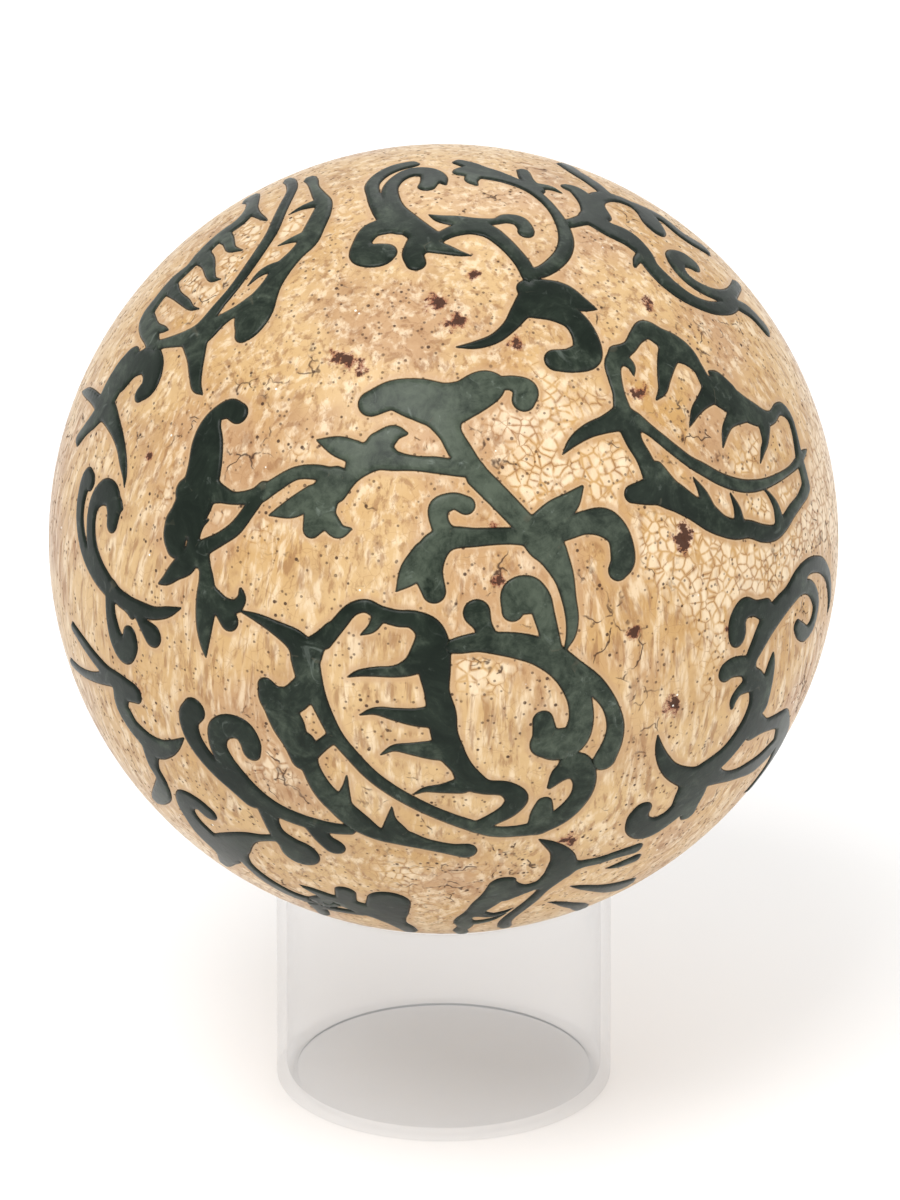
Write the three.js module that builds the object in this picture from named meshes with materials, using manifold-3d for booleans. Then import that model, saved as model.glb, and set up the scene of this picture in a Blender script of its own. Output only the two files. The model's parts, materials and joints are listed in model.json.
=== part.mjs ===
// Decorative sphere: a stone ball with scrolling acanthus inlay, standing on a clear cylinder.
// Millimetres, +Z up. The origin is the centre of the stand's foot, on the surface it stands on,
// and the richest side of the ball looks along -Y.

import * as THREE from 'three';
import { mergeVertices } from 'three/addons/utils/BufferGeometryUtils.js';
import Module from 'manifold-3d';

// ---------- Driving dimensions ----------

const BALL_DIAMETER = 235;
const STAND_DIAMETER = 100;
const STAND_WALL = 3;
const STAND_HEIGHT = 67;
const STAND_FLOOR = 3;
const FOOT_RECESS_DEPTH = 1;        // shallow hollow under the floor, so only a ring touches down
const FOOT_RING_WIDTH = 6;
const INLAY_THICKNESS = 3.3;
const JOINT = 0.3;                  // bedding gap beside and below each inlay, and at every contact

// ---------- Facets ----------

const BALL_DETAIL = 6;              // subdivisions of the octahedron that makes the ball
const BED_DETAIL = 2;               // the same for the unseen floors of the pockets
const STAND_SEGMENTS = 48;
const STROKE_TOLERANCE = 2;       // how far a stroke's facets may leave its drawn line
const POINTED = 1.2;                // a stroke end narrower than this comes to a point
const BLUNT_END = 0.7;              // how far a blunt end swells, in half widths

// ---------- Derived ----------

const BALL_RADIUS = BALL_DIAMETER / 2;
const STAND_RADIUS = STAND_DIAMETER / 2;
const BORE_RADIUS = STAND_RADIUS - STAND_WALL;
const RECESS_RADIUS = STAND_RADIUS - FOOT_RING_WIDTH;
const SEAT_RADIUS = BALL_RADIUS + JOINT;    // from the ball's centre to the rim that carries it
const BALL_CENTRE_Z = STAND_HEIGHT + Math.sqrt(SEAT_RADIUS ** 2 - BORE_RADIUS ** 2);
const POCKET_DEPTH = INLAY_THICKNESS + JOINT;

// ---------- The ornament ----------
// It is drawn as tapering strokes. A sheet is a flat drawing laid on the ball at a longitude and a
// latitude (degrees; longitude 0 faces -Y, +90 faces +X), and a knot is [across, up, width] in
// millimetres on that sheet, measured along the ball's surface.

const sheet = (longitude, latitude, strokes) => ({ longitude, latitude, strokes });

const FRONT_ORNAMENT = {
  central_leaf: [
    sheet(2, -4, [
      [[-40, 26, 4.5], [-35.5, 32.4, 4.5], [-31.8, 36.8, 4], [-27.4, 38.3, 4], [-23, 36.4, 4.5],
        [-18, 35.2, 5], [-13, 34.9, 5.5], [-8.6, 32, 8], [-7, 27, 9.5], [-6.8, 20, 9.5],
        [-6.1, 13, 7.5], [-4.6, 5.5, 8.5], [-3.9, -0.8, 8], [-2, -7, 8], [1.1, -12.5, 6.5],
        [4, -17.5, 7.5], [8.3, -20.4, 5.5], [14.5, -21.7, 5.5], [17.9, -25.8, 7], [15.8, -30.1, 6],
        [11.4, -33.3, 5], [6, -36.5, 4.5]],
      [[-46, 19.5, 9], [-44.8, 14.5, 8.2], [-42.5, 9, 6], [-39.9, 3, 5], [-36.1, -4.5, 4.5],
        [-31.4, -10.4, 4.2], [-25.5, -17, 4.2], [-18.6, -22.6, 4.2], [-10.5, -27.8, 4.2],
        [-3, -32, 4.2], [5.1, -36.1, 4.5], [11.4, -38.9, 4.5], [18.3, -39.6, 4.8], [25.8, -38.9, 6],
        [32.6, -35.1, 7], [37.6, -28.9, 7], [38.9, -22.6, 7.5], [37, -17, 8.5], [34.5, -15.1, 8]],
    ]),
    sheet(-2, -6, [
      [[-60, 34.5, 0.4], [-54, 33.6, 2.6], [-47, 31.5, 4.6], [-41, 28.8, 7], [-37.6, 24.5, 8.8]],
    ]),
  ],
  central_leaf_point: [
    sheet(2, -4, [
      [[-46.1, -8.3, 7], [-44.3, -17, 6], [-40.5, -25.1, 7], [-35.5, -30.8, 8], [-29.9, -36.4, 8],
        [-23.6, -40.8, 5.5], [-16.8, -41.4, 7], [-9.3, -44, 5], [-1.8, -46.2, 5], [3, -47.2, 6.6]],
    ]),
    sheet(-2, -6, [
      [[-48, 8, 8], [-43.5, 1.5, 11], [-41, -5, 8], [-38.7, -11, 7]],
    ]),
  ],
  inner_scroll: [
    sheet(20, 12, [
      [[-40, -5, 3], [-36, -4.5, 5], [-30, -4, 6], [-24, -5, 7], [-18, -6.5, 8], [-12, -9, 8.5],
        [-6, -13.5, 9], [-2, -19, 9], [0, -26, 7.5], [0.5, -33, 8], [-1.5, -38.5, 9.5], [-6, -40, 11],
        [-10.5, -39, 9.5]],
      [[-8, -10, 6], [-9, -3, 6], [-10, 2, 6.5], [-11, 7, 7], [-14, 10.3, 8], [-18, 9.5, 8.5],
        [-19.3, 4.5, 6.5]],
    ]),
  ],
  upper_scroll: [
    sheet(-10, 28, [
      [[-6.8, 33, 8], [-0.5, 36.1, 9.5], [7, 35.5, 13], [14.5, 34.3, 14], [20.8, 36.8, 12],
        [26.4, 41.1, 11], [30.8, 43, 5], [35.1, 43.6, 5], [38.9, 41.8, 7.5], [38.6, 38.6, 7]],
      [[14.5, 32.4, 12], [17.6, 26.1, 7], [21.4, 20.5, 7], [26.4, 15, 6], [32.6, 9.9, 5.5],
        [38.3, 4.9, 5.5], [43.9, -0.8, 6]],
      [[26.4, 15.5, 5], [20.8, 15.5, 5], [14.5, 15.8, 5], [8.3, 15.8, 4.5], [2, 16.1, 6],
        [-3, 17.4, 9], [-7.4, 15.5, 9], [-10.5, 10.5, 5], [-14.3, 5.5, 6]],
      [[-14.9, 9.3, 8], [-18, 4.3, 9.5], [-19.3, -1.4, 9], [-21.1, -5.8, 5.5]],
      [[-13, 9.9, 4], [-20.5, 11.1, 4.5], [-27.4, 10.5, 4], [-33.6, 6.8, 4.4], [-37.5, 3.8, 4.4]],
    ]),
    sheet(20, 12, [
      [[-25.5, 45, 5], [-18, 36, 6], [-12, 28.5, 7], [-8, 24, 11], [-5.5, 20, 8]],
      [[-8, 28, 9], [-3, 31.5, 8], [2, 34, 6], [6.8, 38, 1]],
      [[-5.5, 20, 9], [-3, 13, 6.3], [-2, 6, 4.5], [-1.5, 0, 4], [-2.2, -5, 3], [-4.5, -10, 0.4]],
    ]),
  ],
  left_lobed_leaf: [
    sheet(-36, 20, [
      [[-8.3, 37.8, 6.6], [-12, 38.3, 6.2], [-15.7, 35.5, 5.2], [-16.5, 31, 8], [-15.3, 26, 11.5],
        [-13.7, 20, 12.5], [-13.2, 14, 13], [-14, 8, 13.5], [-16.5, 3, 11], [-18.3, -2, 9.5],
        [-17.3, -5.5, 7.5]],
    ]),
  ],
  upper_left_leaf: [
    sheet(-66, 52, [
      [[-35, 46.5, 4], [-30, 46, 3.5], [-24, 44.7, 3], [-17, 43.7, 4], [-10, 42.7, 5], [-4, 39, 6.5],
        [1, 34.5, 7], [5.5, 30, 7], [7.5, 25, 6], [9.5, 19, 7], [12.5, 13, 7.5], [15, 8, 10],
        [17, 3.5, 13], [19.5, 0, 10], [20.5, -3, 6.5]],
      [[15, 5, 10], [11, 0, 4.5], [9, -5, 5], [8, -10, 7], [6, -14, 9]],
      [[5.5, -14, 10], [11, -17.5, 7], [16, -21.5, 5], [20, -24.3, 3.5], [24, -24.8, 0.4]],
      [[4, -14, 7], [-1, -18, 4.8], [-6, -21.5, 3.6], [-10, -24.5, 4]],
      [[-50, 29.5, 6], [-44, 29, 4.5], [-36, 26, 5], [-31, 21, 6.5], [-31, 14, 6.5], [-29.5, 7, 7],
        [-28, 0, 5], [-29, -6, 6.5], [-28.5, -13, 6], [-27, -19, 7], [-22, -22.3, 5], [-15, -22.8, 6],
        [-10, -24.5, 5]],
      [[-28, -8, 6], [-20, -8.5, 3.4], [-12, -8.3, 3], [-7, -8.3, 1.8], [-3.5, -7, 0.4]],
    ]),
  ],
  upper_left_stem: [
    sheet(-60, 10, [
      [[-29, 54, 9], [-29.5, 49, 11.5], [-29.5, 42, 12], [-29, 38, 9]],
      [[-27, 38, 8], [-22, 37.4, 7], [-15, 35.5, 5.2], [-9, 32.8, 4.2], [-4, 29, 3.6], [-0.8, 25.8, 2],
        [0.8, 23, 0.4]],
      [[-29, 37.5, 7], [-36, 37, 4.6], [-42, 36.5, 4], [-50, 35, 3.2], [-58, 32.5, 0.4]],
      [[-29, 37, 8], [-31.5, 33, 6.8], [-34.8, 28.6, 5], [-38.3, 23.6, 4.6]],
    ]),
  ],
  left_double_curl: [
    sheet(-60, 10, [
      [[-18.9, 17.2, 6], [-21.6, 16.8, 7], [-21.8, 11.5, 6], [-20, 5.7, 5.2], [-16.2, 0.7, 5],
        [-11.5, -3, 5.2], [-6, -5.7, 5.4], [0, -7.3, 6], [6, -8, 6.5]],
      [[0, 11, 5.6], [-1, 15, 7], [-4, 18.2, 8], [-8.5, 17.8, 8], [-12, 14, 6.5], [-12.4, 9, 5.6],
        [-10, 3, 5.5], [-6, -1.5, 5.5], [0, -5, 5.2], [8, -8.2, 5.5], [15, -9, 5.5], [22, -8.3, 4.8],
        [27, -7.3, 4], [32, -5, 3.2], [36.8, -2, 0.4]],
    ]),
  ],
  left_edge_leaf: [
    sheet(-30, -24, [
      [[-24.5, 22.3, 0.6], [-29, 17.5, 4], [-34, 13.8, 6.5], [-40, 12, 9], [-47, 15, 6.5], [-50, 19, 5]],
    ]),
  ],
  lower_left_scroll: [
    sheet(-30, -24, [
      [[-19, 34.8, 8], [-21.4, 31, 7.6], [-20.8, 25.5, 7], [-17.5, 20, 6.6], [-12.5, 15, 6.4],
        [-7, 11.2, 7], [-2, 7.5, 8]],
      [[1, 26, 6], [0.8, 29.5, 7.4], [-1.5, 33, 8], [-6, 33.3, 8], [-10, 30.5, 7.6], [-11, 25.5, 6.6],
        [-9.3, 20.5, 7], [-6, 15.5, 7.4], [-2, 10.5, 7.6], [3, 6.5, 6.8], [8, 4, 6], [15, 1.7, 5.4],
        [22, 0.2, 5], [28, -0.2, 4.2]],
      [[2.8, 4, 7], [2.8, -1, 5.6], [3.8, -6, 6], [7, -11, 9], [9, -14, 12.5]],
    ]),
  ],
  lower_left_leaf: [
    sheet(-30, -24, [
      [[-21.5, -7, 6.4], [-25, -4.8, 6.4], [-29.5, -5.5, 7.6], [-31.5, -10, 7.4], [-30.3, -16, 8.4],
        [-27.5, -22, 11.5], [-23.5, -28, 12], [-25, -34, 7], [-29.5, -42, 4]],
    ]),
  ],
  top_scroll: [
    sheet(8, 70, [
      [[0, 37, 0.8], [-1.5, 42, 5.5], [-4, 46.5, 7], [-8.5, 48, 6.4], [-13, 45, 5], [-16.3, 39.5, 4.8],
        [-17.3, 33, 5.4], [-17, 26, 6.5], [-15, 19.5, 8], [-12, 13.5, 8.5], [-8.5, 8.5, 8]],
      [[-9, 7.5, 6], [-5, 9.3, 4.5], [-1, 11.3, 5], [4, 12.6, 6.4], [9, 10.8, 6.2], [12.5, 6.6, 5.4],
        [15.5, 1.5, 5], [17.8, -3.5, 5], [19, -8.5, 4.6]],
    ]),
  ],
  top_leaf: [
    sheet(8, 70, [
      [[-6, -33.6, 0.4], [0, -33.3, 2.6], [6, -31.3, 3.4], [11, -27, 4.2], [15, -21.5, 6],
        [19, -16.5, 8], [22, -13, 6]],
      [[18, -13.5, 7], [23, -13.5, 8.5], [28.5, -14.5, 9], [34, -17, 5.5], [39, -18.2, 0.4]],
      [[18, -20, 8], [25, -20.5, 8.5], [31, -23.5, 8], [34, -29, 8.5], [34, -35, 9.5], [29, -37.8, 8],
        [23.8, -38.3, 7]],
    ]),
  ],
  right_top_scroll: [
    sheet(85, 58, [
      [[-5.5, 20, 8], [-7, 14, 8.5], [-6.8, 8, 9], [-9.5, 2.5, 7], [-14, -1, 6.5], [-16.8, -6, 7],
        [-17.8, -12, 6.4], [-16.5, -18, 5.2], [-13, -23.5, 5], [-8, -27.5, 5], [-3, -30, 5],
        [3, -31.5, 5]],
    ]),
  ],
  right_leaf: [
    sheet(52, 30, [
      [[-50, 18.8, 0.4], [-45, 20.8, 3], [-39, 21.6, 4.4], [-33, 21, 5.4], [-27.5, 20.5, 7.5]],
      [[-15.5, 38, 5.6], [-10, 38.2, 4.2], [-5, 40, 4.8], [0, 40.5, 6.5], [3, 36.5, 7], [5.5, 32, 9.5],
        [8.3, 28, 7.5], [9.5, 23, 4.6], [9.5, 18, 5.4], [12, 14, 9.5], [16, 10, 9.5], [20, 6, 8.5],
        [24, 2.8, 7.5], [28.5, 0.2, 5.4], [33, -0.7, 4], [38, 0.3, 3.8], [42, -0.8, 4.6],
        [44, -4.2, 3.8], [43.4, -8.5, 3.6], [42, -12.5, 4], [40.8, -16.5, 5], [40.7, -21, 5],
        [40.3, -25, 5.4]],
      [[4, 32, 8], [-0.5, 29.3, 6.6], [-5, 25.6, 4.8], [-8.5, 22.2, 3], [-12.5, 20.5, 0.5]],
      [[-25.5, 19, 8], [-27, 13, 5.8], [-26.6, 7, 5.4], [-26.5, 1, 6.5], [-25, -4, 9.5],
        [-21, -8.5, 8.5], [-17, -13, 7.4], [-12, -18, 8], [-8, -22, 6.5], [-3, -25, 6], [3, -27, 5.4],
        [9, -30.3, 5.4], [15, -32, 4.8], [21, -31, 4.8], [27, -29, 4.4], [33, -27.7, 4], [38.5, -26, 5]],
    ]),
  ],
  right_scroll: [
    sheet(50, -12, [
      [[-34.2, 4.5, 0.4], [-33, 0, 2.6], [-30.5, -5, 4.2], [-26.8, -9.7, 5.2], [-22, -13.3, 6.4],
        [-16, -16, 8], [-10, -15, 9], [-4, -12.3, 8.5], [1, -8, 8.5], [5.5, -2.5, 9.5], [7.5, 4, 9.5],
        [5, 10, 6]],
      [[-14, -19, 13], [-13.5, -25, 13], [-11.5, -29.5, 8], [-10.3, -33, 6]],
      [[-9, -18, 9], [-2, -21.5, 5], [5, -23.8, 4.6], [12, -25, 6], [19, -26, 8], [27, -25, 9]],
      [[9, 1, 9], [11, 8, 6.5], [12.3, 13.5, 4], [13, 17.2, 1]],
      [[8, 6, 8], [5, 11, 7], [1.5, 14.5, 6.5], [1.5, 19, 6], [5, 23.5, 7.4], [10, 28, 9],
        [16, 30.5, 8.5], [22, 32, 7.5], [29, 34.6, 7.4], [36, 35.5, 5.4], [43, 33.3, 5], [49, 29.5, 5],
        [54, 23.5, 4.4], [56.5, 16, 3.4], [56, 9, 0.4]],
      [[1, 17, 6], [-3, 19, 6.5], [-7, 19.8, 6.6], [-9.3, 19.3, 6.6]],
      [[9, -7, 9], [14, -9, 5.5], [20, -10.5, 5.5], [27, -13, 7], [31, -19, 9], [36, -27, 9],
        [37, -36, 7], [32, -43, 5], [26, -44, 0.6]],
    ]),
  ],
  lower_right_leaf: [
    sheet(4, -44, [
      [[11, 13.5, 9], [9, 8, 8.5], [6, 2, 7.5], [3.5, -4, 5.6], [0.8, -9.5, 4.6], [0.8, -14, 6],
        [1.5, -20, 4.6], [0.5, -27, 4.2], [1.5, -34, 4]],
    ]),
  ],
  bottom_band: [
    sheet(4, -44, [
      [[-49.5, -4, 0.4], [-45, -4.6, 4], [-40, -6, 6], [-35, -7, 8], [-29, -9, 10], [-23, -12, 10]],
      [[-22.3, 2, 13], [-22.5, -6, 13], [-22, -12, 11], [-19.5, -18, 7], [-16.5, -24, 6],
        [-14.5, -31, 5]],
      [[-38, -7, 7], [-42, -12, 7], [-44, -18, 6], [-42, -25, 5], [-41, -32, 4]],
    ]),
  ],
};

// The far side repeats drawings of the near side, turned and mirrored, and further apart.
const FAR_SIDE = [
  { name: 'far_leaf_east', drawing: 'right_leaf', longitude: 137, latitude: 4, turn: 14, mirror: 1 },
  { name: 'far_leaf_west', drawing: 'right_leaf', longitude: 231, latitude: 6, turn: -14, mirror: -1 },
  { name: 'far_curl', drawing: 'left_double_curl', longitude: 184, latitude: 6, turn: 20, mirror: 1 },
  { name: 'far_leaf_low', drawing: 'left_lobed_leaf', longitude: 182, latitude: -38, turn: 75, mirror: 1 },
];

// ---------- Strokes on the ball ----------

const radians = THREE.MathUtils.degToRad;

/** The outward, east and north directions of a sheet. */
function sheetAxes(longitude, latitude) {
  const lon = radians(longitude);
  const lat = radians(latitude);
  const out = new THREE.Vector3(Math.sin(lon) * Math.cos(lat), -Math.cos(lon) * Math.cos(lat), Math.sin(lat));
  const east = new THREE.Vector3(Math.cos(lon), Math.sin(lon), 0);
  const north = new THREE.Vector3().crossVectors(out, east);
  return { out, east, north };
}

/** Wraps a point of a flat sheet onto the ball and returns its direction from the ball's centre. */
function wrap([x, y], axes) {
  const distance = Math.hypot(x, y);
  const angle = distance / BALL_RADIUS;
  const reach = distance > 0 ? Math.sin(angle) / distance : 1 / BALL_RADIUS;
  return axes.out.clone().multiplyScalar(Math.cos(angle))
    .addScaledVector(axes.east, x * reach)
    .addScaledVector(axes.north, y * reach);
}

/** Keeps only the knots that a stroke's line and width need within the tolerance. */
function thinned(knots) {
  const first = knots[0];
  const last = knots[knots.length - 1];
  const length = Math.hypot(last[0] - first[0], last[1] - first[1]) || 1;
  let worst = 0;
  let split = 0;
  for (let i = 1; i < knots.length - 1; i += 1) {
    const along = ((knots[i][0] - first[0]) * (last[0] - first[0])
      + (knots[i][1] - first[1]) * (last[1] - first[1])) / length ** 2;
    const place = THREE.MathUtils.clamp(along, 0, 1);
    const miss = [0, 1, 2].map((k) => knots[i][k] - first[k] - place * (last[k] - first[k]));
    const error = Math.hypot(miss[0], miss[1]) + Math.abs(miss[2]) / 2;
    if (error > worst) {
      worst = error;
      split = i;
    }
  }
  if (worst <= STROKE_TOLERANCE) {
    return [first, last];
  }
  return [...thinned(knots.slice(0, split + 1)).slice(0, -1), ...thinned(knots.slice(split))];
}

/** The closed outline of a stroke on its sheet, grown sideways by a clearance. */
function strokeOutline(knots, clearance) {
  const left = [];
  const right = [];
  const ends = [];
  knots.forEach(([x, y, width], i) => {
    const before = knots[Math.max(i - 1, 0)];
    const after = knots[Math.min(i + 1, knots.length - 1)];
    const length = Math.hypot(after[0] - before[0], after[1] - before[1]);
    const along = [(after[0] - before[0]) / length, (after[1] - before[1]) / length];
    const half = width / 2 + clearance;
    const isEnd = i === 0 || i === knots.length - 1;
    if (isEnd) {
      const reach = (i === 0 ? -1 : 1) * (width < POINTED ? clearance : half * BLUNT_END);
      ends.push([x + along[0] * reach, y + along[1] * reach]);
    }
    if (!isEnd || width >= POINTED) {
      left.push([x - along[1] * half, y + along[0] * half]);
      right.push([x + along[1] * half, y - along[0] * half]);
    }
  });
  return [ends[0], ...right, ends[1], ...left.reverse()];
}

// ---------- Solids ----------

const wasm = await Module();
wasm.setup();

/** Turns a closed geometry into a solid that can be joined and cut. */
function solidOf(geometry) {
  const bare = geometry.clone();
  bare.deleteAttribute('normal');
  bare.deleteAttribute('uv');
  const merged = mergeVertices(bare, 1e-4);
  return new wasm.Manifold(new wasm.Mesh({
    numProp: 3,
    vertProperties: new Float32Array(merged.attributes.position.array),
    triVerts: new Uint32Array(merged.index.array),
  }));
}

/** Turns a solid back into a geometry. */
function geometryOf(solid) {
  const mesh = solid.getMesh();
  const geometry = new THREE.BufferGeometry();
  geometry.setAttribute('position', new THREE.BufferAttribute(mesh.vertProperties, 3));
  geometry.setIndex(new THREE.BufferAttribute(mesh.triVerts, 1));
  geometry.computeVertexNormals();
  return geometry;
}

const union = (solids) => solids.reduce((whole, solid) => whole.add(solid));

/** A block through the ball's skin whose outline, on a sheet, is a ring of points. */
function blockThroughSkin(outline, axes) {
  const inside = BALL_RADIUS - 4 * POCKET_DEPTH;
  const outside = BALL_RADIUS + POCKET_DEPTH;
  const directions = outline.map((point) => wrap(point, axes));
  const rings = [inside, outside].map((radius) => directions.map((d) => d.clone().multiplyScalar(radius)));
  const count = outline.length;
  const lids = THREE.ShapeUtils.triangulateShape(outline.map(([x, y]) => new THREE.Vector2(x, y)), []);
  const faces = lids.flatMap(([a, b, c]) => [c, b, a, count + a, count + b, count + c]);
  for (let i = 0; i < count; i += 1) {
    const next = (i + 1) % count;
    faces.push(i, next, count + next, i, count + next, count + i);
  }
  const geometry = new THREE.BufferGeometry();
  geometry.setAttribute('position', new THREE.Float32BufferAttribute(rings.flat().flatMap((p) => p.toArray()), 3));
  geometry.setIndex(faces);
  return solidOf(geometry);
}

/** One drawing as a solid that passes through the ball's skin, grown sideways by a clearance. */
function drawingSolid(sheets, clearance) {
  const blocks = sheets.flatMap(({ axes, strokes }) => strokes
    .map((knots) => blockThroughSkin(strokeOutline(thinned(knots), clearance), axes)));
  return union(blocks);
}

/** A faceted ball with a facet corner on each axis. */
const ballOf = (radius, detail) => solidOf(new THREE.OctahedronGeometry(radius, detail));

// ---------- Drawings in their places ----------

/** The near side's drawings, each on its own sheets. */
function nearDrawings() {
  return Object.entries(FRONT_ORNAMENT).map(([name, sheets]) => ({
    name,
    sheets: sheets.map((s) => ({ axes: sheetAxes(s.longitude, s.latitude), strokes: s.strokes })),
  }));
}

/** The far side's drawings: copies of near ones on turned and mirrored sheets. */
function farDrawings() {
  return FAR_SIDE.map(({ name, drawing, longitude, latitude, turn, mirror }) => {
    const axes = sheetAxes(longitude, latitude);
    const cos = Math.cos(radians(turn));
    const sin = Math.sin(radians(turn));
    const place = ([x, y, width]) => [mirror * x * cos - y * sin, mirror * x * sin + y * cos, width];
    const strokes = FRONT_ORNAMENT[drawing][0].strokes.map((knots) => knots.map(place));
    return { name, sheets: [{ axes, strokes }] };
  });
}

// ---------- Materials ----------

const travertine = new THREE.MeshStandardMaterial({ color: 0xd8bd8c, roughness: 0.35, metalness: 0, flatShading: true });
const serpentine = new THREE.MeshStandardMaterial({ color: 0x27352f, roughness: 0.3, metalness: 0, flatShading: true });
const acrylic = new THREE.MeshStandardMaterial({
  color: 0xeef3f3, roughness: 0.05, metalness: 0, transparent: true, opacity: 0.35,
});

// ---------- Sub-parts ----------

/** The clear cylinder: a closed floor on a shallow foot ring, and a rim that the ball rests on. */
function makeStand() {
  const profile = [
    [0, FOOT_RECESS_DEPTH],
    [RECESS_RADIUS, FOOT_RECESS_DEPTH],
    [RECESS_RADIUS, 0],
    [STAND_RADIUS, 0],
    [STAND_RADIUS, STAND_HEIGHT],
    [BORE_RADIUS, STAND_HEIGHT],
    [BORE_RADIUS, STAND_FLOOR],
    [0, STAND_FLOOR],
  ].map(([r, z]) => new THREE.Vector2(r, z));
  const geometry = new THREE.LatheGeometry(profile, STAND_SEGMENTS);
  geometry.rotateX(Math.PI / 2);
  const mesh = new THREE.Mesh(geometryOf(solidOf(geometry)), acrylic);
  mesh.name = 'clear_stand';
  return mesh;
}

/** The stone ball with its pockets, and one inlay for each drawing. */
function makeBall() {
  const group = new THREE.Group();
  group.position.z = BALL_CENTRE_Z;
  const ball = ballOf(BALL_RADIUS, BALL_DETAIL);
  const pocketBed = ballOf(BALL_RADIUS - POCKET_DEPTH, BED_DETAIL);
  const skin = ball.subtract(ballOf(BALL_RADIUS - INLAY_THICKNESS, BED_DETAIL));
  const drawings = [...nearDrawings(), ...farDrawings()];
  let taken = null;
  for (const { name, sheets } of drawings) {
    const wide = drawingSolid(sheets, JOINT).add(drawingSolid(sheets, 0));
    let piece = drawingSolid(sheets, -JOINT / 2);
    if (taken) {
      piece = piece.subtract(taken);
    }
    taken = taken ? taken.add(wide) : wide;
    const inlay = new THREE.Mesh(geometryOf(piece.intersect(skin)), serpentine);
    inlay.name = `inlay_${name}`;
    group.add(inlay);
  }
  const body = new THREE.Mesh(geometryOf(ball.subtract(taken.subtract(pocketBed))), travertine);
  body.name = 'stone_ball';
  group.add(body);
  return group;
}

const group = new THREE.Group();
group.add(makeStand(), makeBall());

export default group;
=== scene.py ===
"""A polished stone ball with dark acanthus-scroll inlay, resting on a clear acrylic cylinder."""

from __future__ import annotations

import json
import logging
import math
from collections.abc import Callable
from dataclasses import dataclass, field

import bmesh
import bpy
import numpy as np
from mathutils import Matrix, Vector

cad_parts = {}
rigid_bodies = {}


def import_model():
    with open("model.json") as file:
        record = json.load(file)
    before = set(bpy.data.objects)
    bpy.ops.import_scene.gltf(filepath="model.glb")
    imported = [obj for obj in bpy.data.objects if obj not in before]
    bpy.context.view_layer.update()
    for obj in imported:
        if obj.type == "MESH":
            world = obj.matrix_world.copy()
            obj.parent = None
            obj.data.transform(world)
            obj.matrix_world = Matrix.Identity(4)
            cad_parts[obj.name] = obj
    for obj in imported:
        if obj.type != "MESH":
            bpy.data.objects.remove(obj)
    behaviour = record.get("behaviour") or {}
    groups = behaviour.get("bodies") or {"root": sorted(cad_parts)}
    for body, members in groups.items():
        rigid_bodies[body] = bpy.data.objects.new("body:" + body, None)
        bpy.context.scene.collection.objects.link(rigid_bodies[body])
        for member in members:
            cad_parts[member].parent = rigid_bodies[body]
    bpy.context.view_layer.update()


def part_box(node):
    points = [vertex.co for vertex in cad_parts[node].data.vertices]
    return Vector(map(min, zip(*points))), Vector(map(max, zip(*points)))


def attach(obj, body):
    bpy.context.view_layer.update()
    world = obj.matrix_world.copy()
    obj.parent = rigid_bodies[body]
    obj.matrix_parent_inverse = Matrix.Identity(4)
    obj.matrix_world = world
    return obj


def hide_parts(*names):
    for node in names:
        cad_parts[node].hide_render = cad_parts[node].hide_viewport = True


log = logging.getLogger("decorative_sphere")

MM = 0.001


# ---------- The ornament ----------

# A point on a stroke: how far across and up its sheet it lies and how wide the stroke is, in millimetres.
Knot = tuple[float, float, float]


@dataclass(frozen=True)
class Sheet:
    """A flat drawing laid on the ball.

    Longitude 0 faces -Y and +90 faces +X. A sheet can be turned and mirrored about its middle.
    """

    longitude: float
    latitude: float
    strokes: list[list[Knot]]
    turn: float = 0.0
    mirror: int = 1

    def axes(self) -> np.ndarray:
        """The sheet's across, up and outward directions, as rows."""
        lon, lat = math.radians(self.longitude), math.radians(self.latitude)
        out = np.array([math.sin(lon) * math.cos(lat), -math.cos(lon) * math.cos(lat), math.sin(lat)])
        east = np.array([math.cos(lon), math.sin(lon), 0.0])
        north = np.cross(out, east)
        cos, sin = math.cos(math.radians(self.turn)), math.sin(math.radians(self.turn))
        across = self.mirror * (cos * east + sin * north)
        up = -sin * east + cos * north
        return np.array([across, up, out])

    def wrap(self, flat: np.ndarray, radius: float) -> np.ndarray:
        """Lays flat points on the ball.

        Args:
            flat: Points on the sheet, one (across, up) a row, in millimetres.
            radius: The ball's radius in millimetres.

        Returns:
            Unit directions from the ball's centre, one a row.
        """
        distance = np.hypot(flat[:, 0], flat[:, 1])
        angle = distance / radius
        reach = np.where(distance > 1e-9, np.sin(angle) / np.maximum(distance, 1e-9), 1 / radius)
        across, up, out = self.axes()
        return (
            np.cos(angle)[:, None] * out
            + (flat[:, 0] * reach)[:, None] * across
            + (flat[:, 1] * reach)[:, None] * up
        )


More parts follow.
